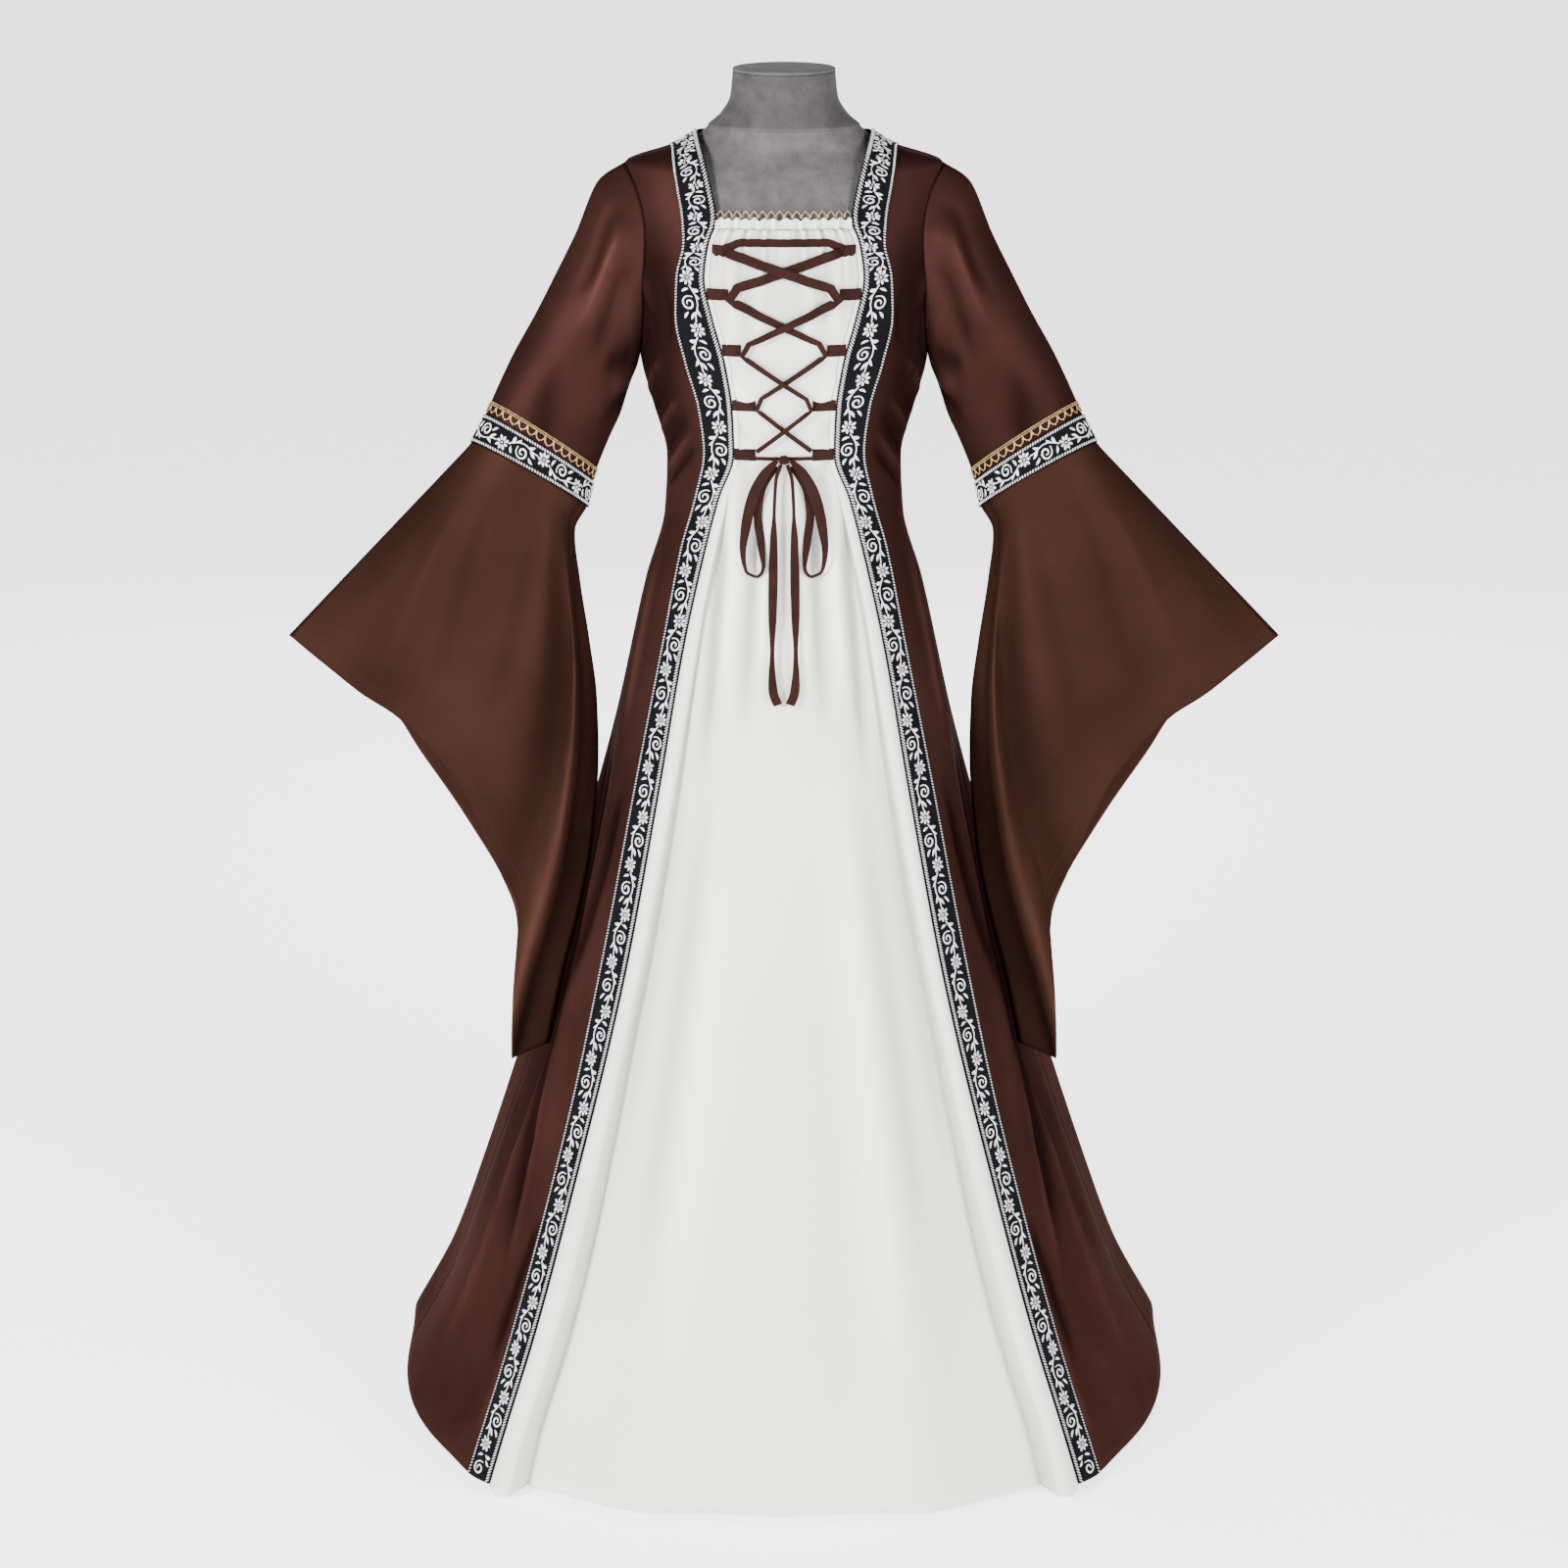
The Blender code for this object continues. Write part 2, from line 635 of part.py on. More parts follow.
def make_neck_edge():
    """The gathered casing on the panel's top edge and the gold lace above it."""
    steps = 32
    waves = 8
    low, high = PANEL_TOP_Z + SEAM_GAP, PANEL_TOP_Z + CASING_HEIGHT
    casing = {"outer": [], "inner": []}
    lace = {"outer": [], "inner": []}
    for level, z in enumerate((low, high)):
        outer_row, inner_row, lace_outer, lace_inner = [], [], [], []
        for step in range(steps + 1):
            across = 2 * step / steps - 1
            edge = angle_at(trim_at(PANEL_TOP_Z)[0] - 2 * SEAM_GAP, z)
            angle = edge * across
            swell = 0.0010 * level * math.sin(across * waves * math.pi)
            rise = 0.0012 * level * math.cos(across * waves * 0.7 * math.pi)
            point = body_point(angle, z)
            normal = body_normal(angle, z)
            up = np.array((0, 0, rise))
            outer_row.append(point + normal * swell + up)
            inner_row.append(point + normal * (swell - CLOTH) + up)
            swell = 0.0010 * math.sin(across * waves * math.pi) - (CLOTH - LACE) / 2
            rise = 0.0012 * math.cos(across * waves * 0.7 * math.pi)
            picot = LACE_HEIGHT * level * (0.75 + 0.25 * (step % 2))
            lace_point = body_point(angle, high) + np.array((0, 0, SEAM_GAP + rise + picot))
            normal = body_normal(angle, high)
            lace_outer.append(lace_point + normal * swell)
            lace_inner.append(lace_point + normal * (swell - LACE))
        casing["outer"].append(outer_row)
        casing["inner"].append(inner_row)
        lace["outer"].append(lace_outer)
        lace["inner"].append(lace_inner)
    wall("neck_casing", np.array(casing["outer"]), np.array(casing["inner"]), "ivory_cloth")
    wall("lace_neck", np.array(lace["outer"]), np.array(lace["inner"]), "gold_lace")


def sleeve_ring(row, turns):
    """A ring of the upper sleeve; a turn of 0 is its outer side and 90 its front."""
    outer_x, outer_z, inner_x, inner_z, y, half_depth, lift = sleeve_at(row)
    outer = np.array((outer_x, y, outer_z))
    inner = np.array((inner_x, y, inner_z))
    centre, arm = (outer + inner) / 2, (outer - inner) / 2
    front = np.array((0.0, -half_depth, lift))
    return np.array([centre + arm * math.cos(t) + front * math.sin(t) for t in turns])


def sleeve_turns(count):
    return [2 * math.pi * k / count for k in range(count)]


def make_sleeves():
    """Upper sleeves, and the ribbon and lace round the elbow made from their rings."""
    turns = sleeve_turns(2 * ARMHOLE_STEPS)
    band_rows = [mix(BAND_TOP, BAND_LOW, lane) for lane in TRIM_LANES]
    rows = list(range(BAND_TOP)) + band_rows
    rings = np.array([sleeve_ring(row, turns) for row in rows])
    armhole = np.array([armhole_point(t) for t in turns])
    out = np.array((1.0, 0.0, 0.0)) * 2 * SEAM_GAP
    correction = armhole + out - rings[0]
    for row in range(4):
        rings[row] += correction * (1 - row / 4) ** 2
    normals = outward(grid_normals(rings, around=True), rings)
    for row in range(BAND_TOP, len(rows)):
        normals[row] = in_plane(normals[row], rings[row])
    inner = rings - normals * CLOTH
    under = rings[BAND_TOP:] + normals[BAND_TOP:] * SEAM_GAP
    over = under + normals[BAND_TOP:] * np.array(RIBBON_HEIGHTS)[:, None, None]
    for name, side in SIDES:
        wall(f"sleeve_upper_{name}", mirrored(rings, side), mirrored(inner, side),
             "brown_satin", around=True)
        wall(f"trim_sleeve_{name}", mirrored(over, side), mirrored(under, side),
             "woven_trim", around=True)
    make_sleeve_lace(rings[[LACE_RING, BAND_TOP]], normals[[LACE_RING, BAND_TOP]])


def make_sleeve_lace(rings, normals):
    """Gold lace with a scalloped lower edge, lying on the sleeve above the ribbon."""
    parts = 3
    columns = rings.shape[1] * parts
    rows = {"over": [[], []], "under": [[], []]}
    for column in range(columns):
        i, share = divmod(column, parts)
        after = (i + 1) % rings.shape[1]
        upper, lower = (mix(ring[i], ring[after], share / parts) for ring in rings)
        out = mix(normals[0][i], normals[0][after], share / parts)
        drop = 0.58 if column % 2 else 0.80
        for level, reach in enumerate((0.06, drop)):
            point = mix(upper, lower, reach)
            rows["under"][level].append(point + out * SEAM_GAP)
            rows["over"][level].append(point + out * (SEAM_GAP + LACE))
    for name, side in SIDES:
        wall(f"lace_sleeve_{name}", mirrored(np.array(rows["over"]), side),
             mirrored(np.array(rows["under"]), side), "gold_lace", around=True)


def bell_point(turn, share, start):
    """A point of the bell at a turn round it and a share of the way to its opening."""
    half = turn / math.pi if turn <= math.pi else 2 - turn / math.pi
    opening = opening_front_at if turn <= math.pi else opening_back_at
    end = opening(half)
    point = mix(start, end, share)
    inward = ((1 - math.cos(turn)) / 2) ** 4
    point = point + np.array((bell_inner_at(share)[0] * inward, 0, 0))
    belly = 0.012 * math.sin(math.pi * share) * math.sin(turn)
    fold = 0.0
    for angle, depth, spread in BELL_FOLDS:
        offset = (math.degrees(turn) - angle) / spread
        fold += depth * math.exp(-offset * offset) * ease(share / 0.45)
    sign = -1 if turn <= math.pi else 1
    return point + np.array((0, -belly + sign * fold, 0))


def make_bells():
    turns = sleeve_turns(BELL_COLUMNS)
    starts = sleeve_ring(BAND_LOW, turns)
    centre = starts.mean(axis=0)
    axis = unit(np.cross(starts[0] - centre, starts[len(turns) // 4] - centre))
    starts = starts - axis * math.copysign(2 * SEAM_GAP, axis[2])
    outer = np.array([[bell_point(t, share, start) for t, start in zip(turns, starts)]
                      for share in BELL_ROWS])
    normals = outward(grid_normals(outer, around=True), outer)
    normals[0] = in_plane(normals[0], outer[0])
    inner = outer - normals * CLOTH
    for name, side in SIDES:
        wall(f"sleeve_bell_{name}", mirrored(outer, side), mirrored(inner, side),
             "brown_satin", around=True)


def panel_finder(panel):
    """A function that gives the y of the ivory panel's face at x and z."""
    vertices = [v.co.copy() for v in panel.data.vertices]
    tree = BVHTree.FromPolygons(vertices, [tuple(p.vertices) for p in panel.data.polygons])

    def face_y(x, z):
        hit = tree.ray_cast(Vector((x, -1.0, z)), Vector((0, 1, 0)))
        return hit[0].y

    return face_y


def tape(name, path, widths):
    """A flat tape along points, its width across the path in the front view."""
    path = np.array(path)
    along = unit(np.gradient(path, axis=0))
    facing = np.array((0.0, -1.0, 0.0))
    side = unit(np.cross(along, facing))
    out = unit(np.cross(side, along))
    if out[0][1] > 0:
        out = -out
    half = np.array(widths)[:, None] / 2
    left, right = path - side * half, path + side * half
    back = np.stack((left, right), axis=1)
    face = back + out[:, None, :] * TAPE
    return wall(name, face, back, "brown_tape")


def make_tabs(face_y):
    for name, side in SIDES:
        for index, (z, outer_x, inner_x) in enumerate(TABS, start=1):
            grid = []
            for level in (0.5, -0.5):
                row = []
                for share in (0.0, 0.5, 1.0):
                    edge = panel_edge(z + level * TAB_HEIGHT) - SEAM_GAP
                    x = mix(min(outer_x, edge), inner_x, share)
                    y = face_y(x, z + level * TAB_HEIGHT) - TAPE_CLEARANCE
                    row.append((x, y, z + level * TAB_HEIGHT))
                grid.append(row)
            back = np.array(grid)
            face = back - np.array((0, TAPE, 0))
            wall(f"tab_{index}_{name}", mirrored(face, side), mirrored(back, side), "brown_tape")


def make_lacing(face_y):
    """The two crossed strands, the bar at the top and the bar at the bottom."""
    reach = [(z, inner_x - 0.0012) for z, _, inner_x in TABS]
    for name, side in SIDES:
        strand, widths = [], []
        layer = STRAND_CLEARANCE[name]
        for index in range(len(reach) - 1):
            (z_a, x_a), (z_b, x_b) = reach[index], reach[index + 1]
            from_side = side if index % 2 == 0 else -side
            steps = 6
            shares = range(steps) if index < len(reach) - 2 else range(steps + 1)
            for step in shares:
                share = step / steps
                x = from_side * mix(x_a, -x_b, share)
                z = mix(z_a - 0.002, z_b + 0.002, share)
                bow = 0.0015 * math.sin(math.pi * share)
                strand.append((x, face_y(x, z) - layer - bow, z))
                widths.append(mix(TAPE_WIDTHS[index], TAPE_WIDTHS[index + 1], share))
        tape(f"lacing_strand_{name}", strand, widths)
    for name, row, lift, extra, out, width in BARS:
        z, half = TABS[row][0] + lift, TABS[row][2] + extra
        steps = 8
        places = [half * (2 * step / steps - 1) for step in range(steps + 1)]
        bar = [(x, face_y(x, z) - out, z) for x in places]
        tape(f"lacing_{name}", bar, [width] * len(bar))


def make_bow(face_y):
    x, z = KNOT
    y = face_y(x, z) - KNOT_HALF[1] - KNOT_OUT
    rings = []
    for level, grow in ((-1.0, 0.55), (-0.6, 0.95), (0.0, 1.0), (0.6, 0.95), (1.0, 0.55)):
        ring = []
        for turn in sleeve_turns(10):
            ring.append((x + KNOT_HALF[0] * level, y + KNOT_HALF[1] * grow * math.cos(turn),
                         z + KNOT_HALF[2] * grow * math.sin(turn)))
        rings.append(ring)
    loft("bow_knot", rings, "brown_tape")
    for name, side in SIDES:
        for part, rows in (("bow_loop", LOOP_PATH), ("bow_tail", TAIL_PATH)):
            path, widths = [], []
            for px, pz, out, width in smooth_path(rows, 2):
                path.append((side * px, face_y(side * px, pz) - out, pz))
                widths.append(width)
            tape(f"{part}_{name}", path, widths)


def smooth_path(rows, parts):
    """More points on a smooth curve through a path's own points."""
    track = Track([(i, *row) for i, row in enumerate(rows)])
    return [track(k / parts) for k in range((len(rows) - 1) * parts + 1)]


def oval_ring(z, half_width, front, back, columns):
    ring = []
    for turn in sleeve_turns(columns):
        depth = front if math.cos(turn) > 0 else back
        ring.append((half_width * math.sin(turn), -depth * math.cos(turn), z))
    return ring


def make_form():
    """The grey torso with its neck, the cap, the pole and the round base."""
    rings = [oval_ring(*row, FORM_COLUMNS) for row in FORM_NECK]
    for z, clearance in FORM_ROWS:
        ring = []
        for turn in sleeve_turns(FORM_COLUMNS):
            angle = turn if turn <= math.pi else turn - 2 * math.pi
            side = 1 if angle >= 0 else -1
            inward = body_normal(abs(angle), z) * (CLOTH + clearance)
            ring.append(tuple(mirrored(body_point(abs(angle), z) - inward, side)))
        rings.append(ring)
    rings += [oval_ring(*row, FORM_COLUMNS) for row in FORM_HIPS]
    loft("form_torso", rings, "grey_suede")
    cap_low = NECK_TOP_Z + SEAM_GAP
    cap = [oval_ring(cap_low + CAP_THICKNESS * level, 0.0548 - trim, 0.0533 - trim,
                     0.0533 - trim, FORM_COLUMNS)
           for level, trim in ((0.0, 0.0), (0.6, 0.0), (1.0, 0.0012))]
    loft("form_neck_cap", cap, "grey_suede")
    base = [oval_ring(z, BASE_RADIUS - trim, BASE_RADIUS - trim, BASE_RADIUS - trim,
                      FORM_COLUMNS)
            for z, trim in ((0.0, 0.0), (BASE_THICKNESS * 0.7, 0.0), (BASE_THICKNESS, 0.006))]
    loft("form_base", base, "painted_steel")
    pole = [oval_ring(z, POLE_RADIUS, POLE_RADIUS, POLE_RADIUS, 16)
            for z in (BASE_THICKNESS + SEAM_GAP, TORSO_LOW_Z - SEAM_GAP)]
    loft("form_pole", pole, "painted_steel")


def make_materials():
    for name, (colour, roughness, metallic) in MATERIALS.items():
        material = bpy.data.materials.new(name)
        material.use_nodes = True
        shader = material.node_tree.nodes["Principled BSDF"]
        shader.inputs["Base Color"].default_value = colour
        shader.inputs["Roughness"].default_value = roughness
        shader.inputs["Metallic"].default_value = metallic


def main():
    for old in list(bpy.data.objects):
        bpy.data.objects.remove(old, do_unlink=True)
    make_materials()
    make_form()
    make_fronts()
    make_back()
    panel = make_panel()
    make_neck_edge()
    make_sleeves()
    make_bells()
    face_y = panel_finder(panel)
    make_tabs(face_y)
    make_lacing(face_y)
    make_bow(face_y)


main()
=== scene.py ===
"""Medieval gown on a limbless dress form: the dressed model and its studio.

The cloths repeat the solids' named tables at a finer step, then get their small
creases, painted shade and highlights, stitches, woven flowers, lace and cloth materials.
"""

import math

import bmesh
import bpy
import numpy as np
from mathutils import Matrix, Vector
from mathutils.bvhtree import BVHTree


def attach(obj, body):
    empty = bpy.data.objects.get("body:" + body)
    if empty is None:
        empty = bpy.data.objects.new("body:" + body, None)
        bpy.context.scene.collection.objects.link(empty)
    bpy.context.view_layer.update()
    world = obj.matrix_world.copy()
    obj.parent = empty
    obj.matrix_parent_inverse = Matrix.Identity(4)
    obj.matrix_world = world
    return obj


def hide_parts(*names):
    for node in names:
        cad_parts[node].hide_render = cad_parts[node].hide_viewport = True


bl_info = {
    "name": "Medieval gown",
    "version": (1, 0, 0),
    "blender": (4, 5, 0),
    "location": "View3D > Sidebar > Gown",
    "description": "Builds the cloth, trims, lace, lacing and studio of a medieval gown",
    "category": "Object",
}

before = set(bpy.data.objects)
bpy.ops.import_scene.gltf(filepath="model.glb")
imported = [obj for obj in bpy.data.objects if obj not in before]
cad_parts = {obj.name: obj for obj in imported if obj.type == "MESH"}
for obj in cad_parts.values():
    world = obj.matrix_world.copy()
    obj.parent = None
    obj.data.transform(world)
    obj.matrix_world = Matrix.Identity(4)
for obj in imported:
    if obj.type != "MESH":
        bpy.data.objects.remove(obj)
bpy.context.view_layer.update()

SIDES = (("left", 1), ("right", -1))

# Sizes shared with the solids, in metres
CLOTH = 0.0015
SEAM_GAP = 0.0003
HEM_Z = 0.008
ARMHOLE_TOP_Z = 1.408
ARMHOLE_LOW_Z = 1.200
ARMHOLE_HALF_DEPTH = 0.058
ARMHOLE_STEPS = 44
NECK_HALF_WIDTH = 0.0925
NECK_SIDE_Z = 1.442
NECK_BACK_Z = 1.428
PANEL_TOP_Z = 1.351
CASING_HEIGHT = 0.010
SHOULDER_BLEND_Z = 1.336
RIBBON = 0.0012
TAPE = 0.0008
TAB_HEIGHT = 0.0115
TAPE_CLEARANCE = 0.0009
STRAND_CLEARANCE = {"left": 0.0029, "right": 0.0070}
NECK_TOP_Z = 1.505
CAP_THICKNESS = 0.003
TORSO_LOW_Z = 0.800
# How thick the woven ribbon is under its face
RIBBON_WALL = 0.0010
# Rows of cloth below the armhole, closer together over the waist's fine creases
LOW_TOP_Z = 1.188
WAIST_LOW_Z = 1.000
WAIST_STEPS = 56
SKIRT_STEPS = 101

# Height, half width, depth in front, depth behind, middle, squareness
BODY = [
    (1.442, 0.0930, 0.056, 0.060, 0.000, 2.00),
    (1.427, 0.1200, 0.063, 0.070, 0.000, 2.05),
    (1.408, 0.1700, 0.076, 0.083, 0.000, 2.10),
    (1.360, 0.1680, 0.096, 0.097, 0.000, 2.20),
    (1.300, 0.1665, 0.115, 0.104, 0.000, 2.20),
    (1.250, 0.1600, 0.126, 0.103, 0.000, 2.20),
    (1.200, 0.1555, 0.122, 0.098, 0.000, 2.20),
    (1.150, 0.1425, 0.110, 0.090, 0.000, 2.20),
    (1.090, 0.1280, 0.101, 0.086, 0.000, 2.20),
    (1.030, 0.1310, 0.112, 0.098, 0.000, 2.20),
    (0.950, 0.1530, 0.136, 0.118, 0.005, 2.25),
    (0.800, 0.1860, 0.188, 0.150, 0.020, 2.30),
    (0.660, 0.2200, 0.236, 0.185, 0.045, 2.40),
    (0.500, 0.2630, 0.288, 0.225, 0.055, 2.40),
    (0.350, 0.3050, 0.338, 0.275, 0.050, 2.40),
    (0.200, 0.3550, 0.392, 0.325, 0.040, 2.40),
    (0.100, 0.3930, 0.424, 0.356, 0.035, 2.35),
    (0.000, 0.4480, 0.455, 0.392, 0.030, 2.30),
]

# Height, trim's inner edge, trim's outer edge, as distances from the middle
TRIM = [
    (1.445, 0.0925, 0.1230),
    (1.390, 0.0763, 0.1135),
    (1.360, 0.0712, 0.1080),
    (1.335, 0.0795, 0.1065),
    (1.300, 0.0840, 0.1138),
    (1.260, 0.0755, 0.1150),
    (1.210, 0.0620, 0.1050),
    (1.160, 0.0550, 0.0915),
    (1.110, 0.0535, 0.0862),
    (1.060, 0.0700, 0.0953),
    (1.000, 0.0858, 0.1115),
    (0.900, 0.1083, 0.1313),
    (0.750, 0.1348, 0.1610),
    (0.550, 0.1725, 0.2000),
    (0.350, 0.2205, 0.2440),
    (0.150, 0.2715, 0.2955),
    (0.000, 0.3190, 0.3430),
]

# Height, width of the ivory pleat beside the trim, depth of the panel next to it
# and in the middle, and how far the pleat's free edge stands out
PLEAT = [
    (1.370, 0.0060, 0.000, 0.000, 0.000),
    (1.100, 0.0060, 0.000, 0.000, 0.000),
    (1.050, 0.0104, 0.003, 0.001, 0.000),
    (0.960, 0.0118, 0.007, 0.002, 0.000),
    (0.870, 0.0141, 0.010, 0.003, 0.000),
    (0.500, 0.0140, 0.018, 0.005, 0.001),
    (0.370, 0.0175, 0.023, 0.006, 0.003),
    (0.250, 0.0205, 0.026, 0.011, 0.007),
    (0.080, 0.0220, 0.022, 0.020, 0.014),
    (0.000, 0.0290, 0.018, 0.027, 0.020),
]

# Folds of the skirt, by the angle round the body from the middle of the front:
# top, fullest and low height, angle at the top and at the low end, outward
# depth, spread in degrees and the share of the depth kept at the low end
FOLDS = [
    (0.820, 0.520, 0.120, 84, 77, -0.040, 8.0, 0.0),
    (0.600, 0.330, 0.060, 64, 71, 0.008, 5.0, 0.0),
    (0.700, 0.420, 0.180, 66, 53, 0.006, 4.0, 0.0),
    (0.450, 0.060, 0.000, 46, 45, 0.011, 7.0, 1.0),
    (0.950, 0.300, 0.000, 24, 19, 0.007, 6.0, 1.0),
    (0.950, 0.300, 0.000, 8, 9, -0.006, 5.0, 1.0),
    (0.980, 0.250, 0.000, 104, 106, 0.016, 8.0, 1.0),
    (0.950, 0.200, 0.000, 119, 121, -0.020, 7.0, 0.9),
    (1.000, 0.250, 0.000, 134, 136, 0.018, 8.0, 1.0),
    (0.930, 0.220, 0.000, 149, 152, -0.018, 7.0, 1.0),
    (1.000, 0.250, 0.000, 165, 166, 0.014, 7.0, 0.8),
    (0.960, 0.250, 0.000, 180, 180, -0.016, 7.0, 1.0),
]

# Creases finer than the folds: outward depth, width, then angle and height of
# each point along the crease
BODY_CREASES = [
    (-0.0026, 0.0040, [(80, 1.056), (62, 1.084), (42, 1.116)]),
    (0.0036, 0.0042, [(80, 1.074), (61, 1.102), (42, 1.134)]),
    (-0.0026, 0.0044, [(82, 1.090), (63, 1.120), (43, 1.154)]),
    (0.0038, 0.0046, [(84, 1.112), (64, 1.140), (45, 1.172)]),
    (-0.0022, 0.0050, [(85, 1.132), (67, 1.160), (49, 1.194)]),
    (0.0034, 0.0052, [(86, 1.152), (70, 1.180), (54, 1.214)]),
    (-0.0017, 0.0080, [(86, 1.186), (74, 1.208), (64, 1.244)]),
    (-0.0015, 0.0060, [(50, 1.300), (47, 1.260), (50, 1.220)]),
    (-0.0016, 0.0070, [(68, 1.290), (60, 1.250), (58, 1.215)]),
    (0.0022, 0.0090, [(72, 1.330), (64, 1.290), (58, 1.250)]),
    (0.0040, 0.0060, [(64, 0.470), (61, 0.330), (57, 0.180)]),
    (0.0044, 0.0070, [(68, 0.400), (70, 0.235), (72, 0.055)]),
    (-0.0048, 0.0085, [(50, 0.290), (53, 0.180), (54, 0.100)]),
    (0.0026, 0.0045, [(50.5, 0.150), (50, 0.090), (50, 0.035)]),
    (-0.0046, 0.0100, [(60, 0.760), (61, 0.640), (63, 0.480)]),
    (-0.0060, 0.0140, [(70, 0.620), (66, 0.460), (63, 0.300), (61, 0.190)]),
    (0.0034, 0.0080, [(74, 1.020), (70, 0.900), (69, 0.780)]),
    (-0.0022, 0.0070, [(112, 1.070), (120, 1.095), (130, 1.110)]),
    (0.0020, 0.0060, [(110, 1.095), (120, 1.118), (131, 1.136)]),
    (-0.0022, 0.0070, [(108, 1.125), (119, 1.148), (130, 1.172)]),
    (0.0020, 0.0070, [(104, 1.160), (116, 1.186), (128, 1.214)]),
    (-0.0016, 0.0090, [(98, 1.200), (108, 1.250), (114, 1.310)]),
    (-0.0020, 0.0120, [(150, 1.150), (154, 1.060), (156, 0.960)]),
    (0.0022, 0.0120, [(164, 1.120), (167, 1.020), (169, 0.900)]),
    (0.0022, 0.0100, [(112, 0.600), (113, 0.400), (114, 0.150)]),
    (-0.0022, 0.0100, [(128, 0.560), (129, 0.330), (130, 0.090)]),
    (0.0024, 0.0110, [(142, 0.640), (143, 0.420), (145, 0.160)]),
    (-0.0022, 0.0100, [(158, 0.500), (160, 0.280), (161, 0.070)]),
    (0.0020, 0.0100, [(173, 0.620), (174, 0.380), (175, 0.120)]),
]
PANEL_CREASES = [
    (-0.0068, 0.0095, [(29, 1.098), (28, 0.980), (26, 0.740)]),
    (0.0050, 0.0085, [(22, 1.100), (21, 1.000), (19, 0.830)]),
    (-0.0064, 0.0080, [(14, 1.100), (12, 1.000), (12, 0.800)]),
    (0.0046, 0.0075, [(5, 1.100), (6, 1.010), (6, 0.840)]),
    (0.0026, 0.0060, [(6, 1.345), (8, 1.280), (7, 1.210)]),
    (-0.0015, 0.0060, [(13, 1.340), (12, 1.280), (14, 1.220)]),
    (0.0028, 0.0055, [(19, 1.340), (17, 1.280), (19, 1.230)]),
    (-0.0024, 0.0060, [(28, 1.178), (20, 1.148), (12, 1.115)]),
    (0.0034, 0.0060, [(27, 1.216), (18, 1.190), (9, 1.160)]),
    (-0.0028, 0.0060, [(28, 1.132), (20, 1.105), (13, 1.072)]),
    (-0.0032, 0.0150, [(32, 0.900), (34, 0.600), (36, 0.250)]),
    (0.0040, 0.0190, [(14, 0.800), (15, 0.450), (16, 0.100)]),
    (-0.0034, 0.0170, [(22, 0.860), (23, 0.600), (25, 0.200)]),
]

# Upper sleeve's rings: outer x and z, inner x and z, middle y, half depth and
# how far the ring's front is lifted
SLEEVE = [
    (0.1700, 1.408, 0.1555, 1.200, 0.000, 0.058, 0.000),
    (0.1975, 1.390, 0.1590, 1.188, -0.001, 0.063, 0.002),
    (0.2240, 1.332, 0.1660, 1.172, -0.003, 0.062, 0.005),
    (0.2455, 1.290, 0.1715, 1.156, -0.006, 0.060, 0.008),
    (0.2680, 1.247, 0.1780, 1.137, -0.010, 0.057, 0.011),
    (0.2930, 1.203, 0.1895, 1.113, -0.014, 0.054, 0.014),
    (0.3160, 1.155, 0.2030, 1.081, -0.018, 0.051, 0.017),
    (0.3240, 1.137, 0.2090, 1.064, -0.020, 0.050, 0.018),
    (0.3320, 1.122, 0.2120, 1.050, -0.021, 0.050, 0.018),
    (0.3394, 1.1076, 0.2152, 1.0362, -0.022, 0.050, 0.018),
]
LACE_RING = 6
BAND_TOP = 7
BAND_LOW = 9
# Creases of the sleeve: depth, width in degrees, turn and ring of each point
SLEEVE_CREASES = [
    (-0.0026, 7, [(40, 0.3), (52, 1.4), (66, 2.6)]),
    (0.0024, 6, [(58, 0.3), (70, 1.6), (84, 3.2)]),
    (-0.0024, 7, [(78, 0.3), (92, 1.8), (104, 3.6)]),
    (-0.0030, 8, [(150, 0.6), (132, 2.0), (112, 3.2)]),
    (0.0024, 8, [(170, 1.0), (152, 2.4), (132, 3.8)]),
    (-0.0024, 8, [(182, 2.0), (160, 3.4), (138, 4.8)]),
    (-0.0020, 8, [(70, 4.6), (88, 5.6), (104, 6.4)]),
    (-0.0026, 9, [(230, 0.6), (244, 2.0), (256, 3.6)]),
    (0.0024, 9, [(256, 0.4), (270, 2.2), (280, 4.0)]),
    (-0.0022, 9, [(296, 0.4), (292, 2.2), (286, 4.2)]),
    (-0.0020, 9, [(200, 2.6), (216, 4.0), (232, 5.4)]),
]

# Bell's opening, front half from the outer corner to the inner end: share, x, y, z
OPENING_FRONT = [
    (0.00, 0.550, 0.000, 0.885),
    (0.12, 0.506, -0.028, 0.857),
    (0.25, 0.464, -0.042, 0.827),
    (0.36, 0.431, -0.048, 0.807),
    (0.45, 0.408, -0.052, 0.786),
    (0.60, 0.365, -0.054, 0.733),
    (0.67, 0.346, -0.054, 0.694),
    (0.72, 0.323, -0.054, 0.634),
    (0.79, 0.299, -0.054, 0.572),
    (0.86, 0.306, -0.054, 0.475),
    (0.93, 0.308, -0.051, 0.402),
    (1.00, 0.266, -0.038, 0.416),
]
# The same for the back half, which hangs a little further out
OPENING_BACK = [
    (0.00, 0.550, 0.000, 0.885),
    (0.12, 0.509, 0.014, 0.850),
    (0.25, 0.466, 0.018, 0.815),
    (0.36, 0.434, 0.018, 0.786),
    (0.45, 0.412, 0.016, 0.750),
    (0.60, 0.366, 0.010, 0.681),
    (0.67, 0.344, 0.006, 0.644),
    (0.72, 0.321, 0.002, 0.600),
    (0.79, 0.303, -0.004, 0.545),
    (0.86, 0.301, -0.008, 0.475),
    (0.93, 0.300, -0.012, 0.412),
    (1.00, 0.266, -0.038, 0.416),
]
BELL_COLUMNS = 168
BELL_STEPS = 90
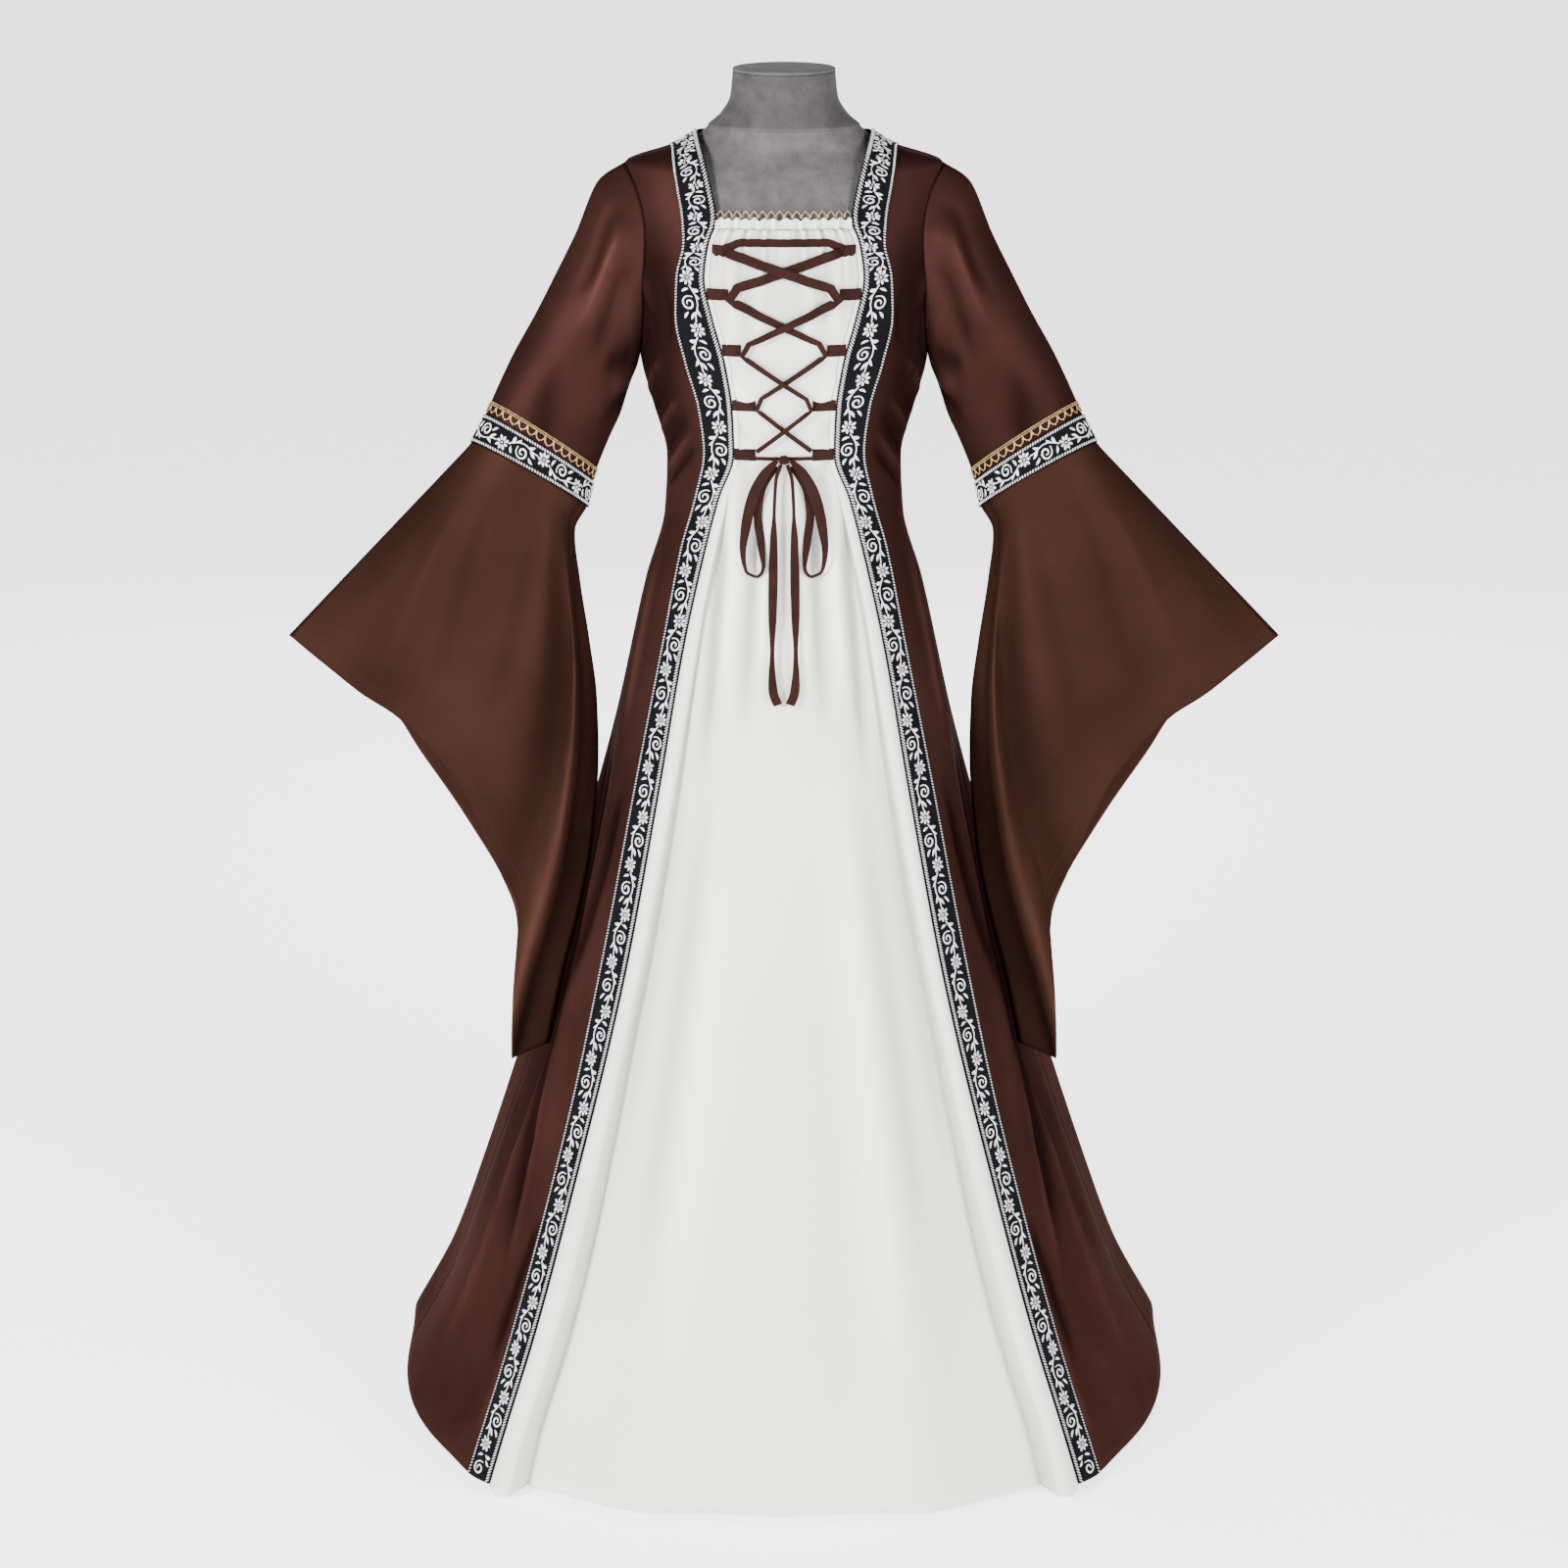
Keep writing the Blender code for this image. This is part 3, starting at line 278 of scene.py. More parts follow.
# Share of the way down, shift of the bell's inner fold towards the outside
BELL_INNER = [
    (0.00, 0.000), (0.04, 0.011), (0.13, 0.002), (0.24, -0.013), (0.35, -0.026),
    (0.50, -0.033), (0.62, -0.032), (0.74, -0.024), (0.85, -0.012), (1.00, 0.000),
]
# Folds of the bell by the angle round it: angle, outward depth, spread in degrees
BELL_FOLDS = [(138, -0.012, 9), (157, 0.012, 8), (225, 0.010, 12), (200, -0.008, 10)]
# Finer creases of the bell: depth, width in degrees, turn and share of each point
BELL_CREASES = [
    (-0.0030, 4, [(150, 0.00), (158, 0.06), (164, 0.14)]),
    (0.0022, 5, [(120, 0.10), (124, 0.35), (126, 0.70)]),
    (-0.0022, 5, [(108, 0.12), (112, 0.40), (116, 0.80)]),
    (-0.0026, 4, [(168, 0.10), (169, 0.40), (170, 0.75)]),
    (-0.0018, 6, [(70, 0.10), (76, 0.45), (82, 0.90)]),
    (0.0018, 7, [(40, 0.20), (46, 0.55), (52, 0.95)]),
    (-0.0024, 6, [(250, 0.05), (244, 0.40), (240, 0.85)]),
    (0.0022, 6, [(272, 0.10), (268, 0.45), (262, 0.90)]),
    (-0.0020, 7, [(300, 0.12), (296, 0.50), (290, 0.92)]),
]

# Lacing: height of each tab, its outer and its inner end
TABS = [
    (1.329, 0.0752, 0.0566),
    (1.2845, 0.0825, 0.0587),
    (1.2265, 0.0693, 0.0454),
    (1.1665, 0.0551, 0.0301),
    (1.1105, 0.0534, 0.0303),
]
# Width of the crossed tape at each tab: flat at the top, on its edge below
TAPE_WIDTHS = (0.0108, 0.0104, 0.0062, 0.0050, 0.0052)
# Half the height of a strand's upright run at the end of each tab
STRAND_TURN = 0.0048
# How far a strand reaches past a tab's end, where it starts by the first tab, and
# how far it stands out between two tabs
STRAND_REACH = 0.0012
STRAND_START = (0.0042, -0.0010)
STRAND_BOW = 0.0015
# The tape's section: shares of its half width across, and of its thickness out
TAPE_SECTION = ((-1.0, 0.35), (-0.93, 0.85), (-0.5, 1.0), (0, 0.96), (0.5, 1.0), (0.93, 0.85),
                (1.0, 0.35), (0.93, 0.05), (0, 0.0), (-0.93, 0.05))
# Bars of tape: name, its row of tabs, lift above that row, reach past the tabs'
# inner ends, distance out from the panel and width
BARS = [
    ("top", 0, 0.0090, 0.006, 0.0029, 0.0088),
    ("bottom", -1, -0.0035, 0.004, 0.0021, 0.0042),
]
KNOT = (0.0, 1.1065)
KNOT_HALF = (0.0055, 0.0035, 0.0050)
KNOT_OUT = 0.0032

# Bow's loop and tail on the wearer's left: x, z, distance out from the panel, width
LOOP_PATH = [
    (0.0072, 1.1062, 0.0064, 0.0050), (0.0200, 1.0930, 0.0115, 0.0100),
    (0.0320, 1.0700, 0.0130, 0.0122), (0.0400, 1.0400, 0.0130, 0.0112),
    (0.0440, 1.0100, 0.0115, 0.0070), (0.0400, 0.9870, 0.0095, 0.0036),
    (0.0300, 0.9820, 0.0080, 0.0034), (0.0220, 0.9940, 0.0065, 0.0046),
    (0.0250, 1.0200, 0.0058, 0.0088), (0.0280, 1.0450, 0.0055, 0.0092),
    (0.0240, 1.0720, 0.0055, 0.0080), (0.0130, 1.0910, 0.0052, 0.0060),
    (0.0066, 1.0985, 0.0050, 0.0040),
]
TAIL_PATH = [
    (0.0035, 1.1013, 0.0064, 0.0044), (0.0085, 1.0850, 0.0092, 0.0040),
    (0.0104, 1.0520, 0.0090, 0.0036), (0.0110, 1.0250, 0.0080, 0.0078),
    (0.0116, 0.9850, 0.0080, 0.0102), (0.0122, 0.9450, 0.0080, 0.0092),
    (0.0126, 0.9060, 0.0080, 0.0048), (0.0128, 0.8850, 0.0080, 0.0072),
    (0.0116, 0.8640, 0.0080, 0.0100), (0.0064, 0.8500, 0.0080, 0.0100),
]

# Dress form: height, half width, front and back of the neck and of the hips
FORM_NECK = [
    (NECK_TOP_Z, 0.0545, 0.0530, 0.0530),
    (1.478, 0.0575, 0.0540, 0.0540),
    (1.460, 0.0680, 0.0555, 0.0560),
    (1.448, 0.0820, 0.0570, 0.0590),
]
FORM_HIPS = [
    (1.030, 0.1270, 0.103, 0.093),
    (0.970, 0.1400, 0.106, 0.105),
    (0.900, 0.1500, 0.104, 0.113),
    (0.840, 0.1500, 0.098, 0.110),
    (0.812, 0.1420, 0.090, 0.102),
    (TORSO_LOW_Z, 0.1280, 0.078, 0.090),
]
# Rows of the form under the gown, with its clearance from the cloth
FORM_ROWS = [
    (1.434, 0.0070), (1.422, 0.0074), (1.405, 0.0064), (1.370, 0.0040), (1.335, 0.0036),
    (1.300, 0.0017), (1.260, 0.0017), (1.215, 0.0020), (1.170, 0.0025), (1.125, 0.0030),
    (1.085, 0.0030),
]
FORM_COLUMNS = 120
NECK_SEAM_Z = 1.4475
CAP_HALF_WIDTH = 0.0548
CAP_HALF_DEPTH = 0.0533

# Woven trim: lengths along the ribbon between two flowers, above and below the
# bust, and the widths of its two edge cords
BUST_Z = 1.300
PITCH_HIGH = 0.0325
PITCH = 0.0550
CORD_OUTER = 0.0034
CORD_INNER = 0.0062
CORD_SLEEVE = 0.0044
# Slanted stitches of those cords: pitch, width and slant in radians
STITCH_PITCH = 0.0032
STITCH_WIDTH = 0.0018
STITCH_SLANT = 0.95
# Stitches along the bell's rim: pitch, then length, width and height
RIM_PITCH = 0.0036
RIM_STITCH = (0.0026, 0.0006, 0.0004)

# Camera, from the photograph's perspective
CAMERA_AT = (0.0, -4.0, 1.95)
CAMERA_TILT = 72.8
CAMERA_LENS = 85.5


class Track:
    """A smooth curve through a table's rows, read by their first column."""

    def __init__(self, rows):
        table = np.array(sorted(rows), dtype=float)
        self.keys = table[:, 0]
        self.values = table[:, 1:]
        steps = np.diff(self.keys)[:, None]
        slopes = np.diff(self.values, axis=0) / steps
        self.tangents = np.zeros_like(self.values)
        self.tangents[0], self.tangents[-1] = slopes[0], slopes[-1]
        before, after = slopes[:-1], slopes[1:]
        same_way = before * after > 0
        mean = 2 * before * after / np.where(same_way, before + after, 1)
        self.tangents[1:-1] = np.where(same_way, mean, 0)

    def __call__(self, key):
        key = np.clip(np.asarray(key, dtype=float), self.keys[0], self.keys[-1])
        last = len(self.keys) - 2
        i = np.clip(np.searchsorted(self.keys, key, side="right") - 1, 0, last)
        step = self.keys[i + 1] - self.keys[i]
        t = ((key - self.keys[i]) / step)[..., None]
        step = step[..., None]
        start = (1 + 2 * t) * (1 - t) ** 2 * self.values[i]
        start = start + t * (1 - t) ** 2 * step * self.tangents[i]
        end = t * t * (3 - 2 * t) * self.values[i + 1]
        return start + end + t * t * (t - 1) * step * self.tangents[i + 1]


body_at = Track(BODY)
trim_at = Track(TRIM)
pleat_at = Track(PLEAT)
sleeve_at = Track([(i, *row) for i, row in enumerate(SLEEVE)])
opening_front_at = Track(OPENING_FRONT)
opening_back_at = Track(OPENING_BACK)
bell_inner_at = Track(BELL_INNER)


def mix(a, b, share):
    return a + (b - a) * share


def ease(share):
    share = np.clip(share, 0.0, 1.0)
    return share * share * (3 - 2 * share)


def unit(vectors):
    return vectors / np.linalg.norm(vectors, axis=-1, keepdims=True)


def power(value, exponent):
    return np.sign(value) * np.abs(value) ** exponent


def fold_depth(angle, z):
    """How far the skirt's folds move the surface out at each place."""
    degrees = np.abs(np.degrees(angle))
    total = np.zeros(np.broadcast(angle, z).shape)
    for top, full, low, angle_top, angle_low, depth, spread, kept in FOLDS:
        along = np.clip((top - z) / (top - low), 0, 1)
        growing = ease((top - z) / (top - full))
        fading = mix(1.0, kept, ease((full - z) / (full - low)))
        offset = (degrees - mix(angle_top, angle_low, along)) / spread
        total = total + depth * growing * fading * np.exp(-offset * offset)
    return total


def near_line(across, down, line, width):
    """A soft ridge of height 1 along a line that fades out at both its ends."""
    best = np.zeros(across.shape)
    lengths = [0.0]
    for a, b in zip(line, line[1:]):
        lengths.append(lengths[-1] + math.hypot(b[0] - a[0], b[1] - a[1]))
    for (a, b), start, end in zip(zip(line, line[1:]), lengths, lengths[1:]):
        run = (b[0] - a[0], b[1] - a[1])
        square = run[0] ** 2 + run[1] ** 2
        t = np.clip(((across - a[0]) * run[0] + (down - a[1]) * run[1]) / square, 0, 1)
        away = np.hypot(across - a[0] - t * run[0], down - a[1] - t * run[1])
        place = (start + t * (end - start)) / lengths[-1]
        strength = ease(place / 0.35) * ease((1 - place) / 0.35)
        best = np.maximum(best, strength * np.exp(-((away / width) ** 2)))
    return best


def crease_depth(creases, angle, z):
    """Creases of the body, with angles turned to lengths round it."""
    radius = np.maximum(body_at(z)[..., 0], 0.12)
    across = np.abs(angle) * radius
    total = np.zeros(across.shape)
    for depth, width, points in creases:
        line = [(math.radians(a) * max(float(body_at(h)[0]), 0.12), h) for a, h in points]
        total += depth * near_line(across, z, line, width)
    return total


def body(angle, z, sink=0.0, creases=()):
    """The gown's outer surface at angles from the middle of the front."""
    angle, z = np.broadcast_arrays(np.asarray(angle, float), np.asarray(z, float))
    half_width, front, back, middle, squareness = np.moveaxis(body_at(z), -1, 0)
    across, ahead = np.sin(angle), np.cos(angle)
    depth = np.where(ahead > 0, front, back)
    x = half_width * power(across, 2 / squareness)
    y = -depth * power(ahead, 2 / squareness)
    normal_x = power(x / half_width, squareness - 1) / half_width
    normal_y = power(y / depth, squareness - 1) / depth
    move = fold_depth(angle, z) - sink
    if creases:
        move = move + crease_depth(creases, angle, z)
    move = move / np.hypot(normal_x, normal_y)
    return np.stack((x + normal_x * move, middle + y + normal_y * move, z), axis=-1)


def angle_at(x, z):
    half_width, _, _, _, squareness = np.moveaxis(body_at(z), -1, 0)
    return np.arcsin(np.minimum(x / half_width, 1.0) ** (squareness / 2))


def ridge_z(x):
    """Height of the shoulder's ridge where the body is x wide."""
    low, high = ARMHOLE_TOP_Z, NECK_SIDE_Z
    for _ in range(40):
        middle = (low + high) / 2
        if body_at(middle)[0] > x:
            low = middle
        else:
            high = middle
    return (low + high) / 2


def armhole_angle(turn):
    """Angle round the body of the armhole, at turns from its top to its front."""
    z = mix(ARMHOLE_LOW_Z, ARMHOLE_TOP_Z, (1 + np.cos(turn)) / 2)
    _, front, back, _, squareness = np.moveaxis(body_at(z), -1, 0)
    y = ARMHOLE_HALF_DEPTH * np.sin(turn)
    depth = np.where(y > 0, front, back)
    lean = np.arccos(np.minimum(np.abs(y) / depth, 1.0) ** (squareness / 2))
    return np.where(y > 0, lean, math.pi - lean), z


def grid_normals(points, around=False):
    """Normals of a grid of points, from its rows and columns."""
    if around:
        along = np.roll(points, -1, axis=1) - np.roll(points, 1, axis=1)
    else:
        along = np.gradient(points, axis=1)
    return unit(np.cross(np.gradient(points, axis=0), along))


def lifted(z, top):
    """Height of a row in a lane whose top end stands at another height."""
    share = (z - SHOULDER_BLEND_Z) / (ARMHOLE_TOP_Z - SHOULDER_BLEND_Z)
    return z + (top - ARMHOLE_TOP_Z) * np.clip(share, 0.0, 1.0)


def low_heights():
    return np.concatenate((np.linspace(LOW_TOP_Z, WAIST_LOW_Z, WAIST_STEPS)[:-1],
                           np.linspace(WAIST_LOW_Z, HEM_Z, SKIRT_STEPS)))


def row_turns():
    """The armhole's turn for each row, and the row's height; below it the turn is 0."""
    turns = np.linspace(0, math.pi, ARMHOLE_STEPS + 1)
    low = low_heights()
    return np.concatenate((turns, 0 * low)), np.concatenate((armhole_angle(turns)[1], low))


def side_edge(turns, z, way):
    """Angle and x of a piece's side edge: the armhole, then the side seam."""
    high = np.arange(len(z)) <= ARMHOLE_STEPS
    angle = np.where(high, armhole_angle(way * turns)[0], math.pi / 2)
    angle[0] = math.pi / 2
    return angle, body(angle, z)[:, 0]


def front_places(lanes):
    """Angle and height of each point of a front, its lanes from -1 over the trim to 1."""
    turns, row_z = row_turns()
    half_width = body_at(ARMHOLE_TOP_Z)[0]
    inner_top, outer_top = trim_at(NECK_SIDE_Z)
    edge, _ = side_edge(turns, row_z, 1)
    columns = []
    for lane in lanes:
        top_x = mix(inner_top, outer_top, lane + 1) if lane <= 0 else mix(
            outer_top, half_width, lane)
        z = lifted(row_z, ridge_z(top_x))
        inner, outer = np.moveaxis(trim_at(z), -1, 0)
        if lane <= 0:
            angle = angle_at(mix(inner, outer, lane + 1), z)
        else:
            edge_x = body(edge, row_z)[:, 0]
            even = mix(angle_at(outer, z), edge, lane)
            across = angle_at(mix(outer, edge_x, lane), z)
            angle = mix(even, across, ease((z - ARMHOLE_LOW_Z) / 0.1))
            if lane == 1.0:
                angle = edge.copy()
        angle[0] = math.pi / 2
        columns.append(np.stack((angle, z), axis=-1))
    return np.stack(columns, axis=1)


def back_places(lanes):
    """Angle and height of each point of the back's left half, from side to middle."""
    turns, row_z = row_turns()
    half_width = body_at(ARMHOLE_TOP_Z)[0]
    edge, edge_x = side_edge(turns, row_z, -1)
    columns = []
    for lane in lanes:
        top_x = half_width * (1 - lane)
        on_ridge = top_x >= NECK_HALF_WIDTH
        scoop = (top_x / NECK_HALF_WIDTH) ** 2
        top = ridge_z(top_x) if on_ridge else mix(NECK_BACK_Z, NECK_SIDE_Z, scoop)
        z = lifted(row_z, top)
        even = mix(edge, math.pi, lane)
        across = math.pi - angle_at(edge_x * (1 - lane), z)
        angle = mix(even, across, ease((z - ARMHOLE_LOW_Z) / 0.1))
        if lane == 0.0:
            angle = edge.copy()
        if on_ridge:
            angle[0] = math.pi / 2
        columns.append(np.stack((angle, z), axis=-1))
    return np.stack(columns, axis=1)


def mirrored(points, side):
    return points * np.array((side, 1, 1))


def grid_uv(points, around=False):
    """Lengths along a grid's rows and columns, for patterns that follow the cloth."""
    if around:
        points = np.concatenate((points, points[:, :1]), axis=1)
    across = np.linalg.norm(np.diff(points, axis=1), axis=-1)
    down = np.linalg.norm(np.diff(points, axis=0), axis=-1)
    u = np.concatenate((np.zeros((len(points), 1)), np.cumsum(across, axis=1)), axis=1)
    u = u - u[:, u.shape[1] // 2][:, None]
    v = np.concatenate((np.zeros((1, points.shape[1])), np.cumsum(down, axis=0)), axis=0)
    return np.stack((u, -v), axis=-1)


def link(mesh, name):
    made = bpy.data.objects.new(name, mesh)
    bpy.context.scene.collection.objects.link(made)
    return made


def cloth(name, points, material, around=False, thickness=CLOTH, centre=None, shade=None):
    """A sheet through a grid of points, thickened inwards, with its lengths as UVs.

    The shade is painted shade and highlight in the colour, from -1 in the hollows of the creases
    to 1 on their crests.
    """
    rows, columns = points.shape[:2]
    away = points - (np.array((0.0, 0.0, 1.0)) * points if centre is None else centre)
    inwards = (grid_normals(points, around) * away).sum() < 0
    index = np.arange(rows * columns).reshape(rows, columns)
    if around:
        index = np.concatenate((index, index[:, :1]), axis=1)
    corners = (index[:-1, :-1], index[:-1, 1:], index[1:, 1:], index[1:, :-1])
    faces = np.stack(corners, axis=-1).reshape(-1, 4)
    uv = grid_uv(points, around)
    uvs = np.stack((uv[:-1, :-1], uv[:-1, 1:], uv[1:, 1:], uv[1:, :-1]), axis=2)
    uvs = uvs.reshape(-1, 4, 2)
    if not inwards:
        faces, uvs = faces[:, ::-1], uvs[:, ::-1]
    mesh = bpy.data.meshes.new(name)
    mesh.from_pydata(points.reshape(-1, 3).tolist(), [], faces.tolist())
    mesh.uv_layers.new(name="cloth").data.foreach_set("uv", uvs.ravel())
    # Painted shade and highlight, kept on the points for the materials to darken or lighten the
    # colour
    if shade is not None:
        shade = np.clip(np.broadcast_to(shade, (rows, columns)), -1, 1).ravel()
        mesh.attributes.new("crease_and_painted_shade", "FLOAT", "POINT").data.foreach_set("value", shade)
    mesh.materials.append(material)
    mesh.shade_smooth()
    made = link(mesh, name)
    if thickness:
        solid = made.modifiers.new("thickness", "SOLIDIFY")
        solid.thickness = thickness
        solid.offset = -1.0
        solid.use_even_offset = False
    return made


def merged(name, shapes, material, smooth=True):
    """One mesh from lists of points and faces."""
    vertices, faces = [], []
    for points, polygons in shapes:
        start = len(vertices)
        vertices += [tuple(p) for p in points]
        faces += [tuple(start + v for v in polygon) for polygon in polygons]
    mesh = bpy.data.meshes.new(name)
    mesh.from_pydata(vertices, [], faces)
    mesh.materials.append(material)
    if smooth:
        mesh.shade_smooth()
    return link(mesh, name)


# Materials

def add(tree, kind, inputs=None, **settings):
    """A node with its settings made and each input set or linked."""
    made = tree.nodes.new(kind)
    for key, value in settings.items():
        setattr(made, key, value)
    for key, value in (inputs or {}).items():
        if isinstance(value, bpy.types.NodeSocket):
            tree.links.new(value, made.inputs[key])
        else:
            made.inputs[key].default_value = value
    return made


def group(name, inputs, outputs):
    """An empty shader node group with its sockets, its input and its output node."""
    tree = bpy.data.node_groups.new(name, "ShaderNodeTree")
    for label, kind, value in inputs:
        socket = tree.interface.new_socket(name=label, in_out="INPUT", socket_type=kind)
        if value is not None:
            socket.default_value = value
    for label, kind in outputs:
        tree.interface.new_socket(name=label, in_out="OUTPUT", socket_type=kind)
    return tree, tree.nodes.new("NodeGroupInput"), tree.nodes.new("NodeGroupOutput")


def weave_group():
    """Crossing threads in the cloth's own lengths; gives their height."""
    tree, given, result = group(
        "thread weave",
        [("Vector", "NodeSocketVector", None), ("Threads per metre", "NodeSocketFloat", 900.0)],
        [("Height", "NodeSocketFloat")])
    apart = add(tree, "ShaderNodeSeparateXYZ", {0: given.outputs["Vector"]})
    waves = []
    for axis in (0, 1):
        turns = add(tree, "ShaderNodeMath", {0: apart.outputs[axis], 1: given.outputs[1]},
                    operation="MULTIPLY")
        radians = add(tree, "ShaderNodeMath", {0: turns.outputs[0], 1: 2 * math.pi},
                      operation="MULTIPLY")
        waves.append(add(tree, "ShaderNodeMath", {0: radians.outputs[0]}, operation="SINE"))
    height = add(tree, "ShaderNodeMath", {0: waves[0].outputs[0], 1: waves[1].outputs[0]},
                 operation="MULTIPLY")
    tree.links.new(height.outputs[0], result.inputs["Height"])
    return tree


def tone_group():
    """Soft uneven shade over the cloth, from 0 to 1."""
    tree, given, result = group(
        "uneven tone",
        [("Scale", "NodeSocketFloat", 8.0), ("Detail", "NodeSocketFloat", 3.0)],
        [("Tone", "NodeSocketFloat")])
    place = add(tree, "ShaderNodeTexCoord")
    noise = add(tree, "ShaderNodeTexNoise", {
        "Vector": place.outputs["Object"], "Scale": given.outputs["Scale"],
        "Detail": given.outputs["Detail"]})
    spread = add(tree, "ShaderNodeMapRange", {
        "Value": noise.outputs["Fac"], "From Min": 0.3, "From Max": 0.7})
    tree.links.new(spread.outputs["Result"], result.inputs["Tone"])
    return tree


def shader(name, dark, light, roughness, tone=(8.0, 3.0), threads=900.0, relief=0.2,
           relief_size=0.0002, wrinkle=0.0, wrinkle_scale=30.0, creased=0.0, **constants):
    """A cloth material: uneven tone, painted shade, a weave's relief and constants on the shader.
    """
    material = bpy.data.materials.new(name)
    material.use_nodes = True
    tree = material.node_tree
    main_shader = tree.nodes["Principled BSDF"]
    place = add(tree, "ShaderNodeTexCoord")
    uneven = add(tree, "ShaderNodeGroup", node_tree=bpy.data.node_groups["uneven tone"])
    uneven.inputs["Scale"].default_value, uneven.inputs["Detail"].default_value = tone
    colour = add(tree, "ShaderNodeMix", {"Factor": uneven.outputs["Tone"]}, data_type="RGBA")
    colour.inputs[6].default_value = (*dark, 1)
    colour.inputs[7].default_value = (*light, 1)
    # Painted shade and highlight: the colour is scaled by 1 plus creased times the mesh's painted
    # shade value
    crease_and_painted_shade = add(tree, "ShaderNodeAttribute", attribute_name="crease_and_painted_shade")
    depth = add(tree, "ShaderNodeMath", {0: crease_and_painted_shade.outputs["Fac"], 1: creased, 2: 1.0},
                operation="MULTIPLY_ADD")
    shaded = add(tree, "ShaderNodeVectorMath", {
        0: colour.outputs[2], "Scale": depth.outputs[0]}, operation="SCALE")
    tree.links.new(shaded.outputs[0], main_shader.inputs["Base Color"])
    weave = add(tree, "ShaderNodeGroup", node_tree=bpy.data.node_groups["thread weave"])
    tree.links.new(place.outputs["UV"], weave.inputs["Vector"])
    weave.inputs["Threads per metre"].default_value = threads
    bump = add(tree, "ShaderNodeBump", {
        "Height": weave.outputs["Height"], "Strength": relief, "Distance": relief_size})
    if wrinkle:
        noise = add(tree, "ShaderNodeTexNoise", {
            "Vector": place.outputs["Object"], "Scale": wrinkle_scale, "Detail": 2.0})
        bump = add(tree, "ShaderNodeBump", {
            "Height": noise.outputs["Fac"], "Strength": wrinkle, "Distance": 0.002,
            "Normal": bump.outputs["Normal"]})
    tree.links.new(bump.outputs["Normal"], main_shader.inputs["Normal"])
    main_shader.inputs["Roughness"].default_value = roughness
    for key, value in constants.items():
        main_shader.inputs[key.replace("_", " ")].default_value = value
    return material


SATIN_SHINE = (0.28, 0.20, 0.18, 1.0)
BELL_TINT = (0.92, 1.0, 0.85)
# Darker and lighter tone of the plain materials
GOLD_TONES = ((0.25, 0.150, 0.055), (0.50, 0.345, 0.150))
SUEDE_TONES = ((0.062, 0.057, 0.058), (0.096, 0.090, 0.091))
STEEL_TONES = ((0.030, 0.030, 0.032), (0.042, 0.042, 0.044))


def make_materials():
    if "brown satin" in bpy.data.materials:
        return
    weave_group()
    tone_group()
    brown = bpy.context.scene.gown_cloth
    dark, light = np.array(brown.brown_dark), np.array(brown.brown_light)
    # creased: how strongly each cloth's painted shade and highlight change its colour
    shader("brown satin", dark, light, brown.satin_roughness, (7.0, 3.0), 1400, 0.15,
           wrinkle=0.12, creased=0.6, **{"Metallic": 0.3, "Specular IOR Level": 0.0,
                                         "Specular Tint": SATIN_SHINE})
    shader("brown bell", dark * BELL_TINT, light * BELL_TINT, brown.satin_roughness,
           (6.0, 3.0), 1400, 0.15, wrinkle=0.10, creased=0.5,
           **{"Metallic": 0.25, "Specular IOR Level": 0.0, "Specular Tint": SATIN_SHINE})
    ivory = np.array(brown.ivory)
    shader("ivory cloth", ivory * 0.965, ivory, 0.72, (5.0, 2.0), 1100, 0.2, wrinkle=0.14,
           wrinkle_scale=18.0, creased=0.42, **{"Specular IOR Level": 0.2})
    trim = bpy.context.scene.gown_trim
    ground, thread = np.array(trim.ground), np.array(trim.thread)
    shader("trim ground", ground * 0.8, ground * 1.3, 0.85, (60.0, 2.0), 1300, 0.8, 0.0004,
           **{"Specular IOR Level": 0.08})
    shader("silver thread", thread * 0.80, thread, 0.45, (220.0, 2.0), 2200, 0.5, 0.0003,
           **{"Metallic": 0.15})
    shader("silver cord", thread * 0.62, thread * 0.86, 0.45, (160.0, 2.0), 2200, 0.5, 0.0003,
           **{"Metallic": 0.2})
    shader("gold thread", *GOLD_TONES, 0.42, (240.0, 2.0), 2400, 0.5, 0.0003,
           **{"Metallic": 0.25})
    tape = np.array(brown.tape)
    shader("brown tape", tape * 0.8, tape * 1.15, 0.6, (40.0, 2.0), 1800, 0.4, 0.0003,
           **{"Specular IOR Level": 0.15, "Specular Tint": SATIN_SHINE})
    shader("brown thread", dark * 1.5, light * 1.6, 0.6, (60.0, 2.0), 1800, 0.3,
           **{"Specular IOR Level": 0.1})
    shader("grey suede", *SUEDE_TONES, 0.95, (64.0, 6.0), 700, 0.05, wrinkle=0.5,
           wrinkle_scale=420.0, creased=0.4,
           **{"Sheen Weight": 0.02, "Specular IOR Level": 0.1})
    shader("painted steel", *STEEL_TONES, 0.38, (30.0, 2.0), 400, 0.02, **{"Metallic": 0.3})


def material(name):
    make_materials()
    return bpy.data.materials[name]


# What repeats: a motif set on points by geometry nodes

